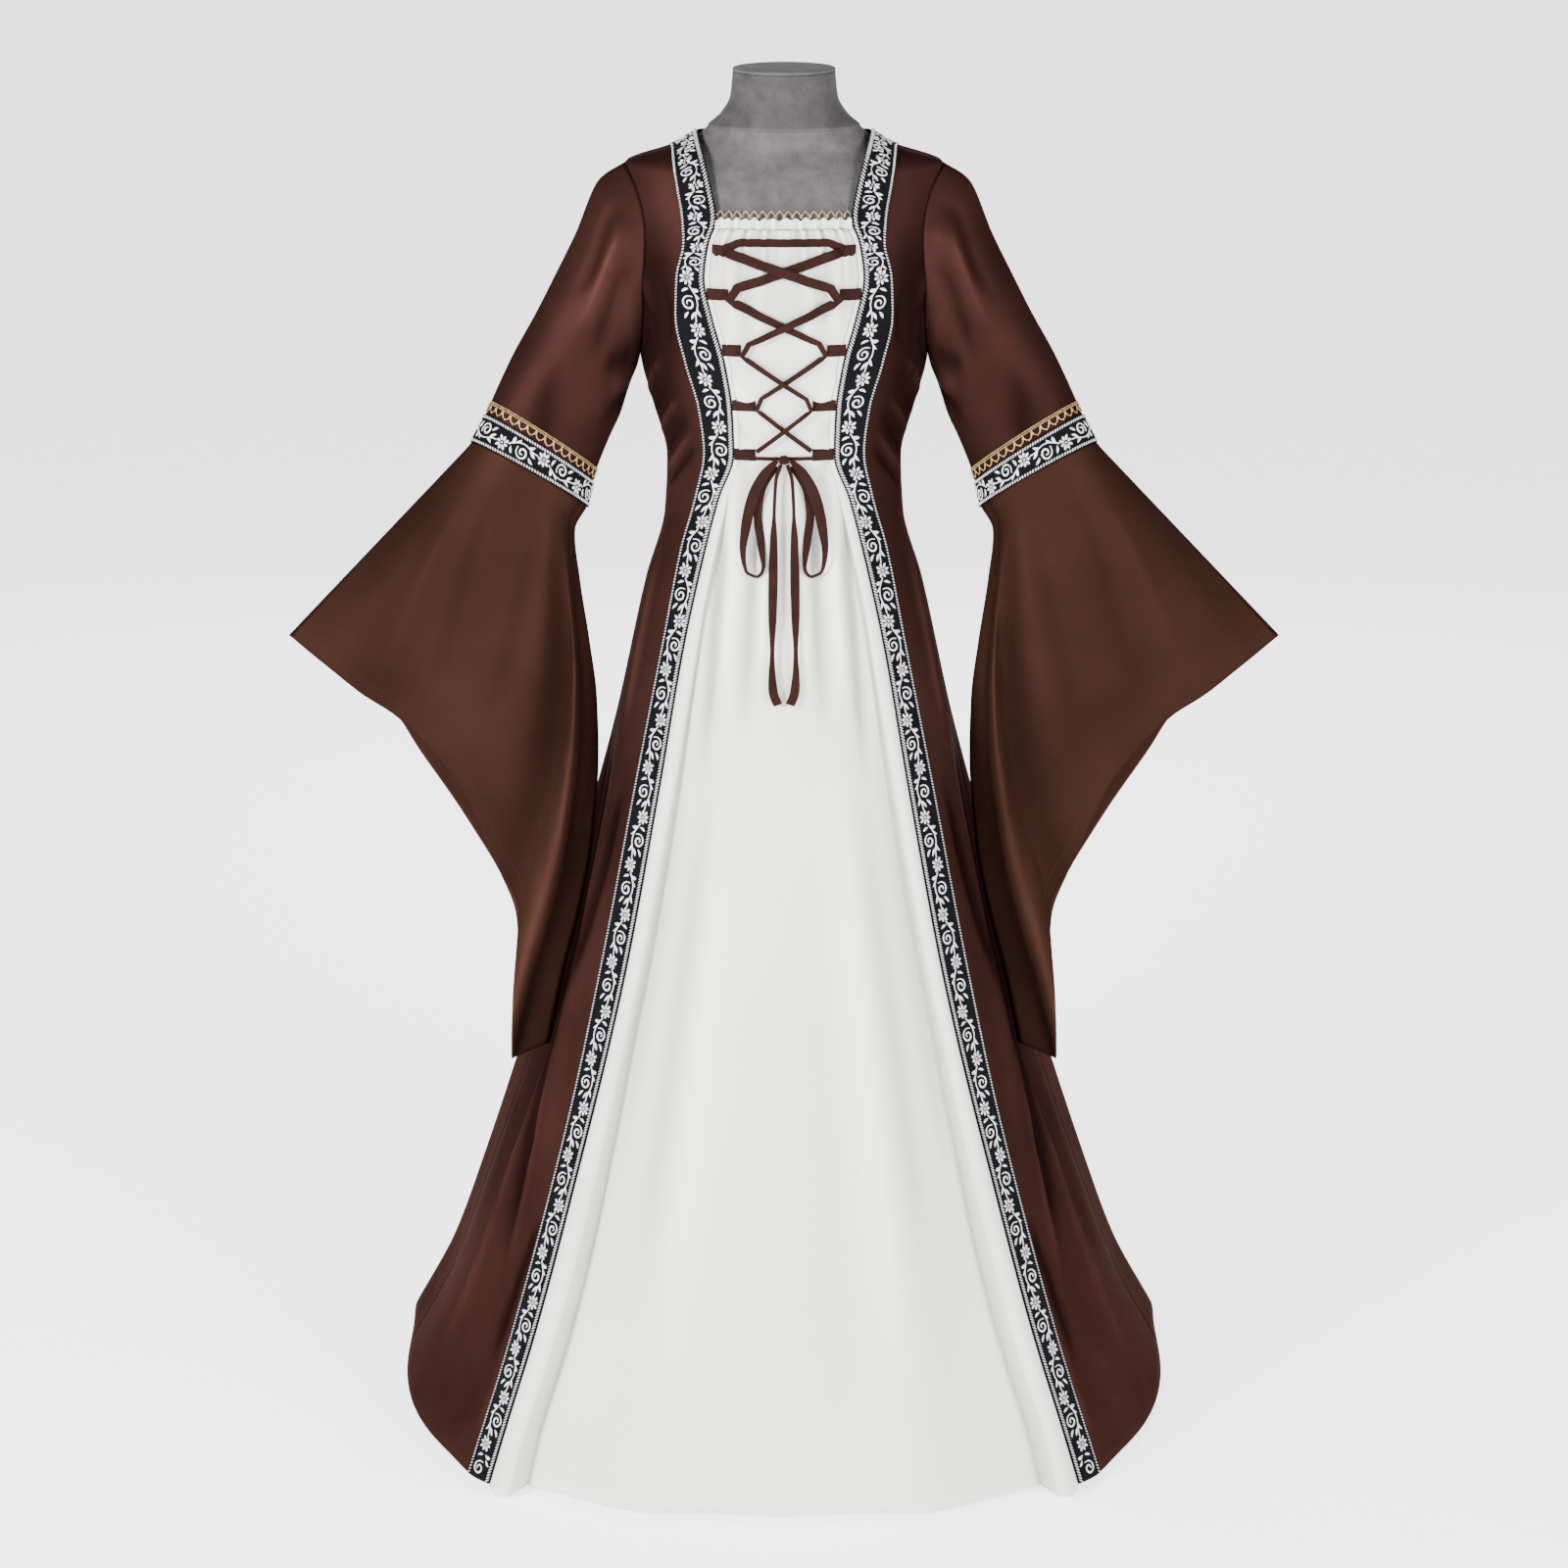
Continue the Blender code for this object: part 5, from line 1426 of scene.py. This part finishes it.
def scallop(name):
    """One lace scallop: an open loop of cord, about 1 wide and 1 deep."""
    half_width, hang, thick = 0.45, 0.84, 0.075
    points, faces, sides, steps = [], [], 5, 12
    for k in range(steps + 1):
        t = math.pi * k / steps
        middle = Vector((half_width * math.cos(t), -hang * math.sin(t), 0))
        out = Vector((math.cos(t), -math.sin(t), 0))
        for j in range(sides):
            a = 2 * math.pi * j / sides
            points.append(middle + out * thick * math.cos(a) + Vector((0, 0, 1)) * thick
                          * math.sin(a))
    for k in range(steps):
        for j in range(sides):
            after = (j + 1) % sides
            faces.append((k * sides + j, (k + 1) * sides + j, (k + 1) * sides + after,
                          k * sides + after))
    made = merged(name, [(points, faces)], material("gold thread"))
    shape = bmesh.new()
    shape.from_mesh(made.data)
    bmesh.ops.recalc_face_normals(shape, faces=shape.faces)
    shape.to_mesh(made.data)
    shape.free()
    return made


def lace_places(path, downs, outs, pitch, depth):
    """Places for scallops along a closed or open path, hanging along downs."""
    lengths = np.concatenate(([0.0], np.cumsum(np.linalg.norm(np.diff(path, axis=0), axis=1))))
    count = int(round(lengths[-1] / pitch))
    loops, beads, braid = [], [], []
    wide = lengths[-1] / count

    def read(table, s):
        return np.array([np.interp(s, lengths, table[:, c]) for c in range(3)])

    for k in range(count):
        s = (k + 0.5) * wide
        point, down, out = read(path, s), unit(read(downs, s)), unit(read(outs, s))
        along = np.cross(-down, out)
        loops.append((point + down * 0.0002, along, out, (wide, depth, SCALLOP_CORD)))
        beads.append((point + down * depth * 0.95, down, out, BEAD))
        beads.append((read(path, k * wide) + down * depth * 0.45, down, out, SMALL_BEAD))
    rows = int(lengths[-1] / BRAID_PITCH)
    for k in range(rows):
        s = (k + 0.5) * lengths[-1] / rows
        point, down, out = read(path, s), unit(read(downs, s)), unit(read(outs, s))
        along = np.cross(-down, out)
        for level, lean in BRAID_ROWS:
            braid.append((point - down * level, along + down * lean, out, BRAID_STITCH))
    return loops, beads, braid


def build_lace(name, path, downs, outs, pitch, depth, with_braid=True):
    """Gold lace along a path; gives its pieces joined in one object."""
    loops, beads, braid = lace_places(path, downs, outs, pitch, depth)
    loop, bead = scallop("loop"), bean("bead", 5, 2)
    gold = material("gold thread")
    parts = [scatter(name, loop, loops, gold)]
    parts.append(scatter(name + "_beads", bead, beads + (braid if with_braid else []), gold))
    drop(loop)
    drop(bead)
    return join(parts)


def join(parts):
    shape = bmesh.new()
    for part in parts:
        shape.from_mesh(part.data)
    shape.to_mesh(parts[0].data)
    shape.free()
    for part in parts[1:]:
        drop(part)
    return parts[0]


def make_lace(grid):
    points, normals = grid
    lower = points[-1] + (points[0] - points[-1]) * 0.50
    downs = points[-1] - points[0]
    for name, side in SIDES:
        path = mirrored(lower + normals[0] * (SEAM_GAP + 0.0007), side)
        closed = [np.concatenate((t, t[:1])) for t in (path, mirrored(downs, side),
                                                       mirrored(normals[0], side))]
        lace = build_lace(f"gold_lace_sleeve_{name}", *closed, *SLEEVE_LACE)
        finish_piece(lace, [f"lace_sleeve_{name}"])
    top_z = PANEL_TOP_Z + CASING_HEIGHT
    edge = float(angle_at(trim_at(PANEL_TOP_Z)[0] - 0.002, top_z))
    angles = np.linspace(-edge, edge, 90)
    path = body(angles, 0 * angles + top_z + 0.0006, 0.0009)
    outs = unit(path * np.array((1, 1, 0)))
    lace = build_lace("gold_lace_neck", path, np.tile((0.0, 0.0, 1.0), (90, 1)), outs,
                      *NECK_LACE, with_braid=False)
    finish_piece(lace, ["lace_neck"])


# Lacing

def panel_finder(panel):
    """A function that gives the y of the ivory panel's face at x and z."""
    points = [v.co.copy() for v in panel.data.vertices]
    tree = BVHTree.FromPolygons(points, [tuple(p.vertices) for p in panel.data.polygons])

    def face_y(x, z):
        return tree.ray_cast(Vector((x, -1.0, z)), Vector((0, 1, 0)))[0].y

    return face_y


def tape(name, path, widths, nodes):
    """A flat tape with rounded edges along points, its width across the front view."""
    path = np.array(path)
    along = unit(np.gradient(path, axis=0))
    side = unit(np.cross(along, np.array((0.0, -1.0, 0.0))))
    out = unit(np.cross(side, along))
    if out[0][1] > 0:
        out = -out
    half = np.array(widths)[:, None] / 2
    rows = [path + side * half * a + out * TAPE * b for a, b in TAPE_SECTION]
    points = np.stack(rows, axis=1)
    count = len(TAPE_SECTION)
    made = cloth(name, points, material("brown tape"), True, 0.0, path[:, None])
    caps = bmesh.new()
    caps.from_mesh(made.data)
    caps.verts.ensure_lookup_table()
    caps.faces.new([caps.verts[k] for k in range(count)])
    start = len(points) * count - count
    caps.faces.new([caps.verts[start + k] for k in range(count)])
    bmesh.ops.recalc_face_normals(caps, faces=caps.faces)
    caps.to_mesh(made.data)
    caps.free()
    finish_piece(made, nodes)
    return made


def make_tabs(face_y):
    for name, side in SIDES:
        for index, (z, outer_x, inner_x) in enumerate(TABS, start=1):
            outer_x = min(outer_x, float(trim_at(z)[0]) - 2 * SEAM_GAP)
            path = []
            for share in np.linspace(0, 1, 9):
                x = mix(outer_x, inner_x, share)
                path.append((side * x, face_y(x, z) - TAPE_CLEARANCE, z))
            widths = [TAB_HEIGHT * 1.12] * 9
            tape(f"tape_tab_{index}_{name}", path, widths, [f"tab_{index}_{name}"])


def make_strands(face_y):
    reach = [(z, inner_x - STRAND_REACH) for z, _, inner_x in TABS]
    aside, up = STRAND_START
    for name, side in SIDES:
        strand, widths = [], []
        layer = STRAND_CLEARANCE[name]
        for index in range(len(reach) - 1):
            (z_a, x_a), (z_b, x_b) = reach[index], reach[index + 1]
            from_side = side if index % 2 == 0 else -side
            steps = 14
            start = (x_a + aside, z_a + up) if index == 0 else (x_a, z_a - STRAND_TURN)
            for step in range(steps + (index == len(reach) - 2)):
                share = step / steps
                x = from_side * mix(start[0], -x_b, share)
                z = mix(start[1], z_b + STRAND_TURN, share)
                bow = STRAND_BOW * math.sin(math.pi * share)
                strand.append((x, face_y(x, z) - layer - bow, z))
                widths.append(mix(TAPE_WIDTHS[index], TAPE_WIDTHS[index + 1], share))
        tape(f"tape_strand_{name}", strand, widths, [f"lacing_strand_{name}"])
    for name, row, lift, extra, out, width in BARS:
        z, half = TABS[row][0] + lift, TABS[row][2] + extra
        places = half * np.linspace(-1, 1, 31)
        drops = 0.006 * ease((np.abs(places) - 0.72 * half) / (0.28 * half)) * (row == 0)
        bar = [(x, face_y(x, z - drop_z) - out, z - drop_z) for x, drop_z in zip(places, drops)]
        tape(f"tape_bar_{name}", bar, [width] * len(bar), [f"lacing_{name}"])


def make_bow(face_y):
    x, z = KNOT
    y = face_y(x, z) - KNOT_HALF[1] - KNOT_OUT
    rings = []
    for level in np.linspace(-1, 1, 13):
        grow = (1 - abs(level) ** 3 * 0.45) * (1 + 0.06 * math.sin(level * 9))
        turns = around(24)
        ripple = 1 + 0.06 * np.sin(turns * 5 + level * 3)
        rings.append(np.stack((
            x + KNOT_HALF[0] * level + 0 * turns, y + KNOT_HALF[1] * grow * np.cos(turns) * ripple,
            z + KNOT_HALF[2] * grow * np.sin(turns) * ripple), axis=-1))
    rings = np.array(rings)
    closed = np.concatenate((mix(rings[:1], rings[:1].mean(axis=1, keepdims=True), 0.9), rings,
                             mix(rings[-1:], rings[-1:].mean(axis=1, keepdims=True), 0.9)))
    knot = cloth("tape_knot", closed, material("brown tape"), True, 0.0,
                 closed.mean(axis=1, keepdims=True))
    finish_piece(knot, ["bow_knot"])
    for name, side in SIDES:
        for part, rows in (("loop", LOOP_PATH), ("tail", TAIL_PATH)):
            track = curve_points(rows, 8 * (len(rows) - 1) + 1)
            path = [(side * px, face_y(side * px, pz) - out, pz) for px, pz, out, _ in track]
            made = tape(f"tape_{part}_{name}", path, track[:, 3], [f"bow_{part}_{name}"])


# Dress form

def form_row(z, half_width, front, back):
    turn = around(FORM_COLUMNS)
    depth = np.where(np.cos(turn) > 0, front, back)
    return np.stack((half_width * np.sin(turn), -depth * np.cos(turn), z + 0 * turn), axis=-1)


def make_form():
    """The padded torso with its neck seam, the neck's cap, the pole and the base."""
    neck_at, hips_at = Track(FORM_NECK), Track(FORM_HIPS)
    clear_at = Track(FORM_ROWS)
    rows = []
    for z in np.linspace(NECK_TOP_Z, 1.4505, 24):
        rows.append(form_row(z, *neck_at(z)))
    for z in np.linspace(1.4490, 1.4460, 7):
        groove = 0.0011 * math.exp(-(((z - NECK_SEAM_Z) / 0.0009) ** 2))
        rows.append(form_row(z, *(neck_at(max(z, 1.448)) - groove)))
    turn = around(FORM_COLUMNS)
    angle = np.where(turn <= math.pi, turn, turn - 2 * math.pi)
    side = np.where(angle >= 0, 1, -1)
    for z in np.linspace(1.434, 1.085, 60):
        ring = body(np.abs(angle), 0 * angle + z)
        above, below = body(np.abs(angle), 0 * angle + z + 0.002), body(
            np.abs(angle), 0 * angle + z - 0.002)
        ahead, behind = body(np.abs(angle) + 0.002, 0 * angle + z), body(
            np.abs(angle) - 0.002, 0 * angle + z)
        normal = unit(np.cross(ahead - behind, above - below))
        ring = ring - normal * (CLOTH + clear_at(z)[0])
        ring[:, 0] *= side
        rows.append(ring)
    for z in np.linspace(1.030, TORSO_LOW_Z, 26):
        rows.append(form_row(z, *hips_at(z)))
    rows = np.array(rows)
    low = mix(rows[-1:], rows[-1:].mean(axis=1, keepdims=True), 0.999)
    high = mix(rows[:1], rows[:1].mean(axis=1, keepdims=True), 0.999)
    rows = np.concatenate((high, rows, low))
    # The neck above its seam gets a darker colour
    torso = cloth("suede_torso", rows, material("grey suede"), True, 0.0,
                  rows.mean(axis=1, keepdims=True),
                  -0.95 * ease((rows[..., 2] - NECK_SEAM_Z + 0.002) / 0.006))
    finish_piece(torso, ["form_torso"])
    cap_low = NECK_TOP_Z + SEAM_GAP
    levels = ((0.0, 0.999), (0.0, 0.012), (0.15, 0.0), (0.55, 0.0), (0.85, 0.010), (1.0, 0.035),
              (1.0, 0.999))
    rings = []
    for level, inset in levels:
        keep = 1 - inset
        rings.append(form_row(cap_low + CAP_THICKNESS * level, CAP_HALF_WIDTH * keep,
                              CAP_HALF_DEPTH * keep, CAP_HALF_DEPTH * keep))
    rings = np.array(rings)
    cap = cloth("suede_neck_cap", rings, material("grey suede"), True, 0.0,
                np.array((0.0, 0.0, cap_low + CAP_THICKNESS / 2)))
    finish_piece(cap, ["form_neck_cap"])
    for node in ("form_pole", "form_base"):
        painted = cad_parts[node]
        for slot in painted.material_slots:
            slot.material = material("painted steel")


# Stage

# Lamps: name, place, size and share of the key light's power
LAMPS = (
    ("key", (-3.0, -3.2, 2.3), 1.0, 1.0),
    ("fill", (3.0, -3.2, 1.9), 1.4, 0.60),
    ("rim", (0.0, 2.8, 2.4), 2.6, 0.22),
)
LAMP_AIM = (0.0, 0.0, 0.85)


def make_stage(settings):
    bpy.ops.mesh.primitive_plane_add(size=60.0, location=(0, 10.0, 0))
    floor = bpy.context.object
    floor.name = "floor"
    paint = bpy.data.materials.new("pale floor")
    paint.use_nodes = True
    base = paint.node_tree.nodes["Principled BSDF"]
    base.inputs["Base Color"].default_value = (0.94, 0.94, 0.94, 1)
    base.inputs["Roughness"].default_value = 0.9
    base.inputs["Specular IOR Level"].default_value = 0.1
    base.inputs["Emission Color"].default_value = (1, 1, 1, 1)
    base.inputs["Emission Strength"].default_value = settings.floor_glow
    floor.data.materials.append(paint)
    world = bpy.data.worlds.new("pale studio")
    world.use_nodes = True
    background = world.node_tree.nodes["Background"]
    background.inputs["Color"].default_value = (1, 1, 1, 1)
    background.inputs["Strength"].default_value = settings.world_strength
    bpy.context.scene.world = world
    for name, place, size, share in LAMPS:
        lamp = bpy.data.lights.new(name, "AREA")
        lamp.size, lamp.energy = size, settings.key_watts * share
        light = bpy.data.objects.new(name, lamp)
        light.location = place
        way = Vector(LAMP_AIM) - Vector(place)
        light.rotation_euler = way.to_track_quat("-Z", "Y").to_euler()
        bpy.context.scene.collection.objects.link(light)
    lens = bpy.data.cameras.new("camera")
    lens.lens, lens.sensor_width = CAMERA_LENS, 36.0
    camera = bpy.data.objects.new("camera", lens)
    camera.location = CAMERA_AT
    camera.rotation_euler = (math.radians(CAMERA_TILT), 0, 0)
    bpy.context.scene.collection.objects.link(camera)
    bpy.context.scene.camera = camera


# The add-on's settings, operators and panel

def colour_setting(name, description, default):
    return bpy.props.FloatVectorProperty(name=name, description=description, default=default,
                                         subtype="COLOR", size=3, min=0.0, max=1.0)


class GownCloth(bpy.types.PropertyGroup):
    """Colours and finish of the cloths."""
    brown_dark: colour_setting("Brown, dark", "Darker tone of the brown satin",
                               (0.0205, 0.0080, 0.0064))
    brown_light: colour_setting("Brown, light", "Lighter tone of the brown satin",
                                (0.0330, 0.0133, 0.0110))
    ivory: colour_setting("Ivory", "Colour of the ivory front", (0.80, 0.785, 0.735))
    tape: colour_setting("Tape", "Colour of the lacing tape", (0.020, 0.0075, 0.0060))
    satin_roughness: bpy.props.FloatProperty(
        name="Satin roughness", description="Roughness of the brown satin", default=0.46,
        min=0.0, max=1.0)


class GownTrim(bpy.types.PropertyGroup):
    """Colours of the woven trim."""
    ground: colour_setting("Ground", "Ground of the woven ribbon", (0.0035, 0.0035, 0.0050))
    thread: colour_setting("Thread", "Thread of the flowers and cords", (0.74, 0.75, 0.78))


class GownStage(bpy.types.PropertyGroup):
    """Light of the studio."""
    key_watts: bpy.props.FloatProperty(
        name="Key light", description="Power of the main lamp", default=430.0, min=0.0,
        unit="POWER")
    world_strength: bpy.props.FloatProperty(
        name="World light", description="Strength of the pale surroundings", default=0.30,
        min=0.0)
    floor_glow: bpy.props.FloatProperty(
        name="Floor glow", description="Brightness that the floor adds to its own light",
        default=2.3, min=0.0)


class GOWN_OT_form(bpy.types.Operator):
    """Build the limbless dress form"""
    bl_idname = "gown.form"
    bl_label = "Dress form"

    def execute(self, context):
        make_form()
        return {"FINISHED"}


class GOWN_OT_body(bpy.types.Operator):
    """Build the brown fronts with their woven trims, and the back"""
    bl_idname = "gown.body"
    bl_label = "Fronts and back"

    def execute(self, context):
        make_front_trims(make_fronts())
        make_back()
        return {"FINISHED"}


class GOWN_OT_panel(bpy.types.Operator):
    """Build the ivory front with its casing, tabs, lacing and bow"""
    bl_idname = "gown.panel"
    bl_label = "Ivory front and lacing"

    def execute(self, context):
        face_y = panel_finder(make_panel())
        make_casing()
        make_tabs(face_y)
        make_strands(face_y)
        make_bow(face_y)
        return {"FINISHED"}


class GOWN_OT_sleeves(bpy.types.Operator):
    """Build the sleeves with their bells, woven trims and gold lace"""
    bl_idname = "gown.sleeves"
    bl_label = "Sleeves"

    def execute(self, context):
        band, lace = make_sleeves()
        make_sleeve_trims(band)
        make_bells()
        make_lace(lace)
        return {"FINISHED"}


class GOWN_OT_stage(bpy.types.Operator):
    """Build the floor, lights and camera"""
    bl_idname = "gown.stage"
    bl_label = "Studio"

    def execute(self, context):
        make_stage(context.scene.gown_stage)
        return {"FINISHED"}


OPERATORS = (GOWN_OT_form, GOWN_OT_body, GOWN_OT_panel, GOWN_OT_sleeves, GOWN_OT_stage)


class GOWN_PT_panel(bpy.types.Panel):
    """The gown's settings and pieces"""
    bl_label = "Medieval gown"
    bl_idname = "GOWN_PT_panel"
    bl_space_type = "VIEW_3D"
    bl_region_type = "UI"
    bl_category = "Gown"

    def draw(self, context):
        scene = context.scene
        for group_name in ("gown_cloth", "gown_trim", "gown_stage"):
            settings = getattr(scene, group_name)
            box = self.layout.box()
            for key in settings.__annotations__:
                box.prop(settings, key)
        for operator in OPERATORS:
            self.layout.operator(operator.bl_idname)


CLASSES = (GownCloth, GownTrim, GownStage, *OPERATORS, GOWN_PT_panel)


def register():
    for item in CLASSES:
        bpy.utils.register_class(item)
    bpy.types.Scene.gown_cloth = bpy.props.PointerProperty(type=GownCloth)
    bpy.types.Scene.gown_trim = bpy.props.PointerProperty(type=GownTrim)
    bpy.types.Scene.gown_stage = bpy.props.PointerProperty(type=GownStage)


def unregister():
    del bpy.types.Scene.gown_stage
    del bpy.types.Scene.gown_trim
    del bpy.types.Scene.gown_cloth
    for item in reversed(CLASSES):
        bpy.utils.unregister_class(item)


def main():
    register()
    bpy.ops.gown.stage()
    bpy.ops.gown.form()
    bpy.ops.gown.body()
    bpy.ops.gown.panel()
    bpy.ops.gown.sleeves()


if __name__ == "__main__":
    main()
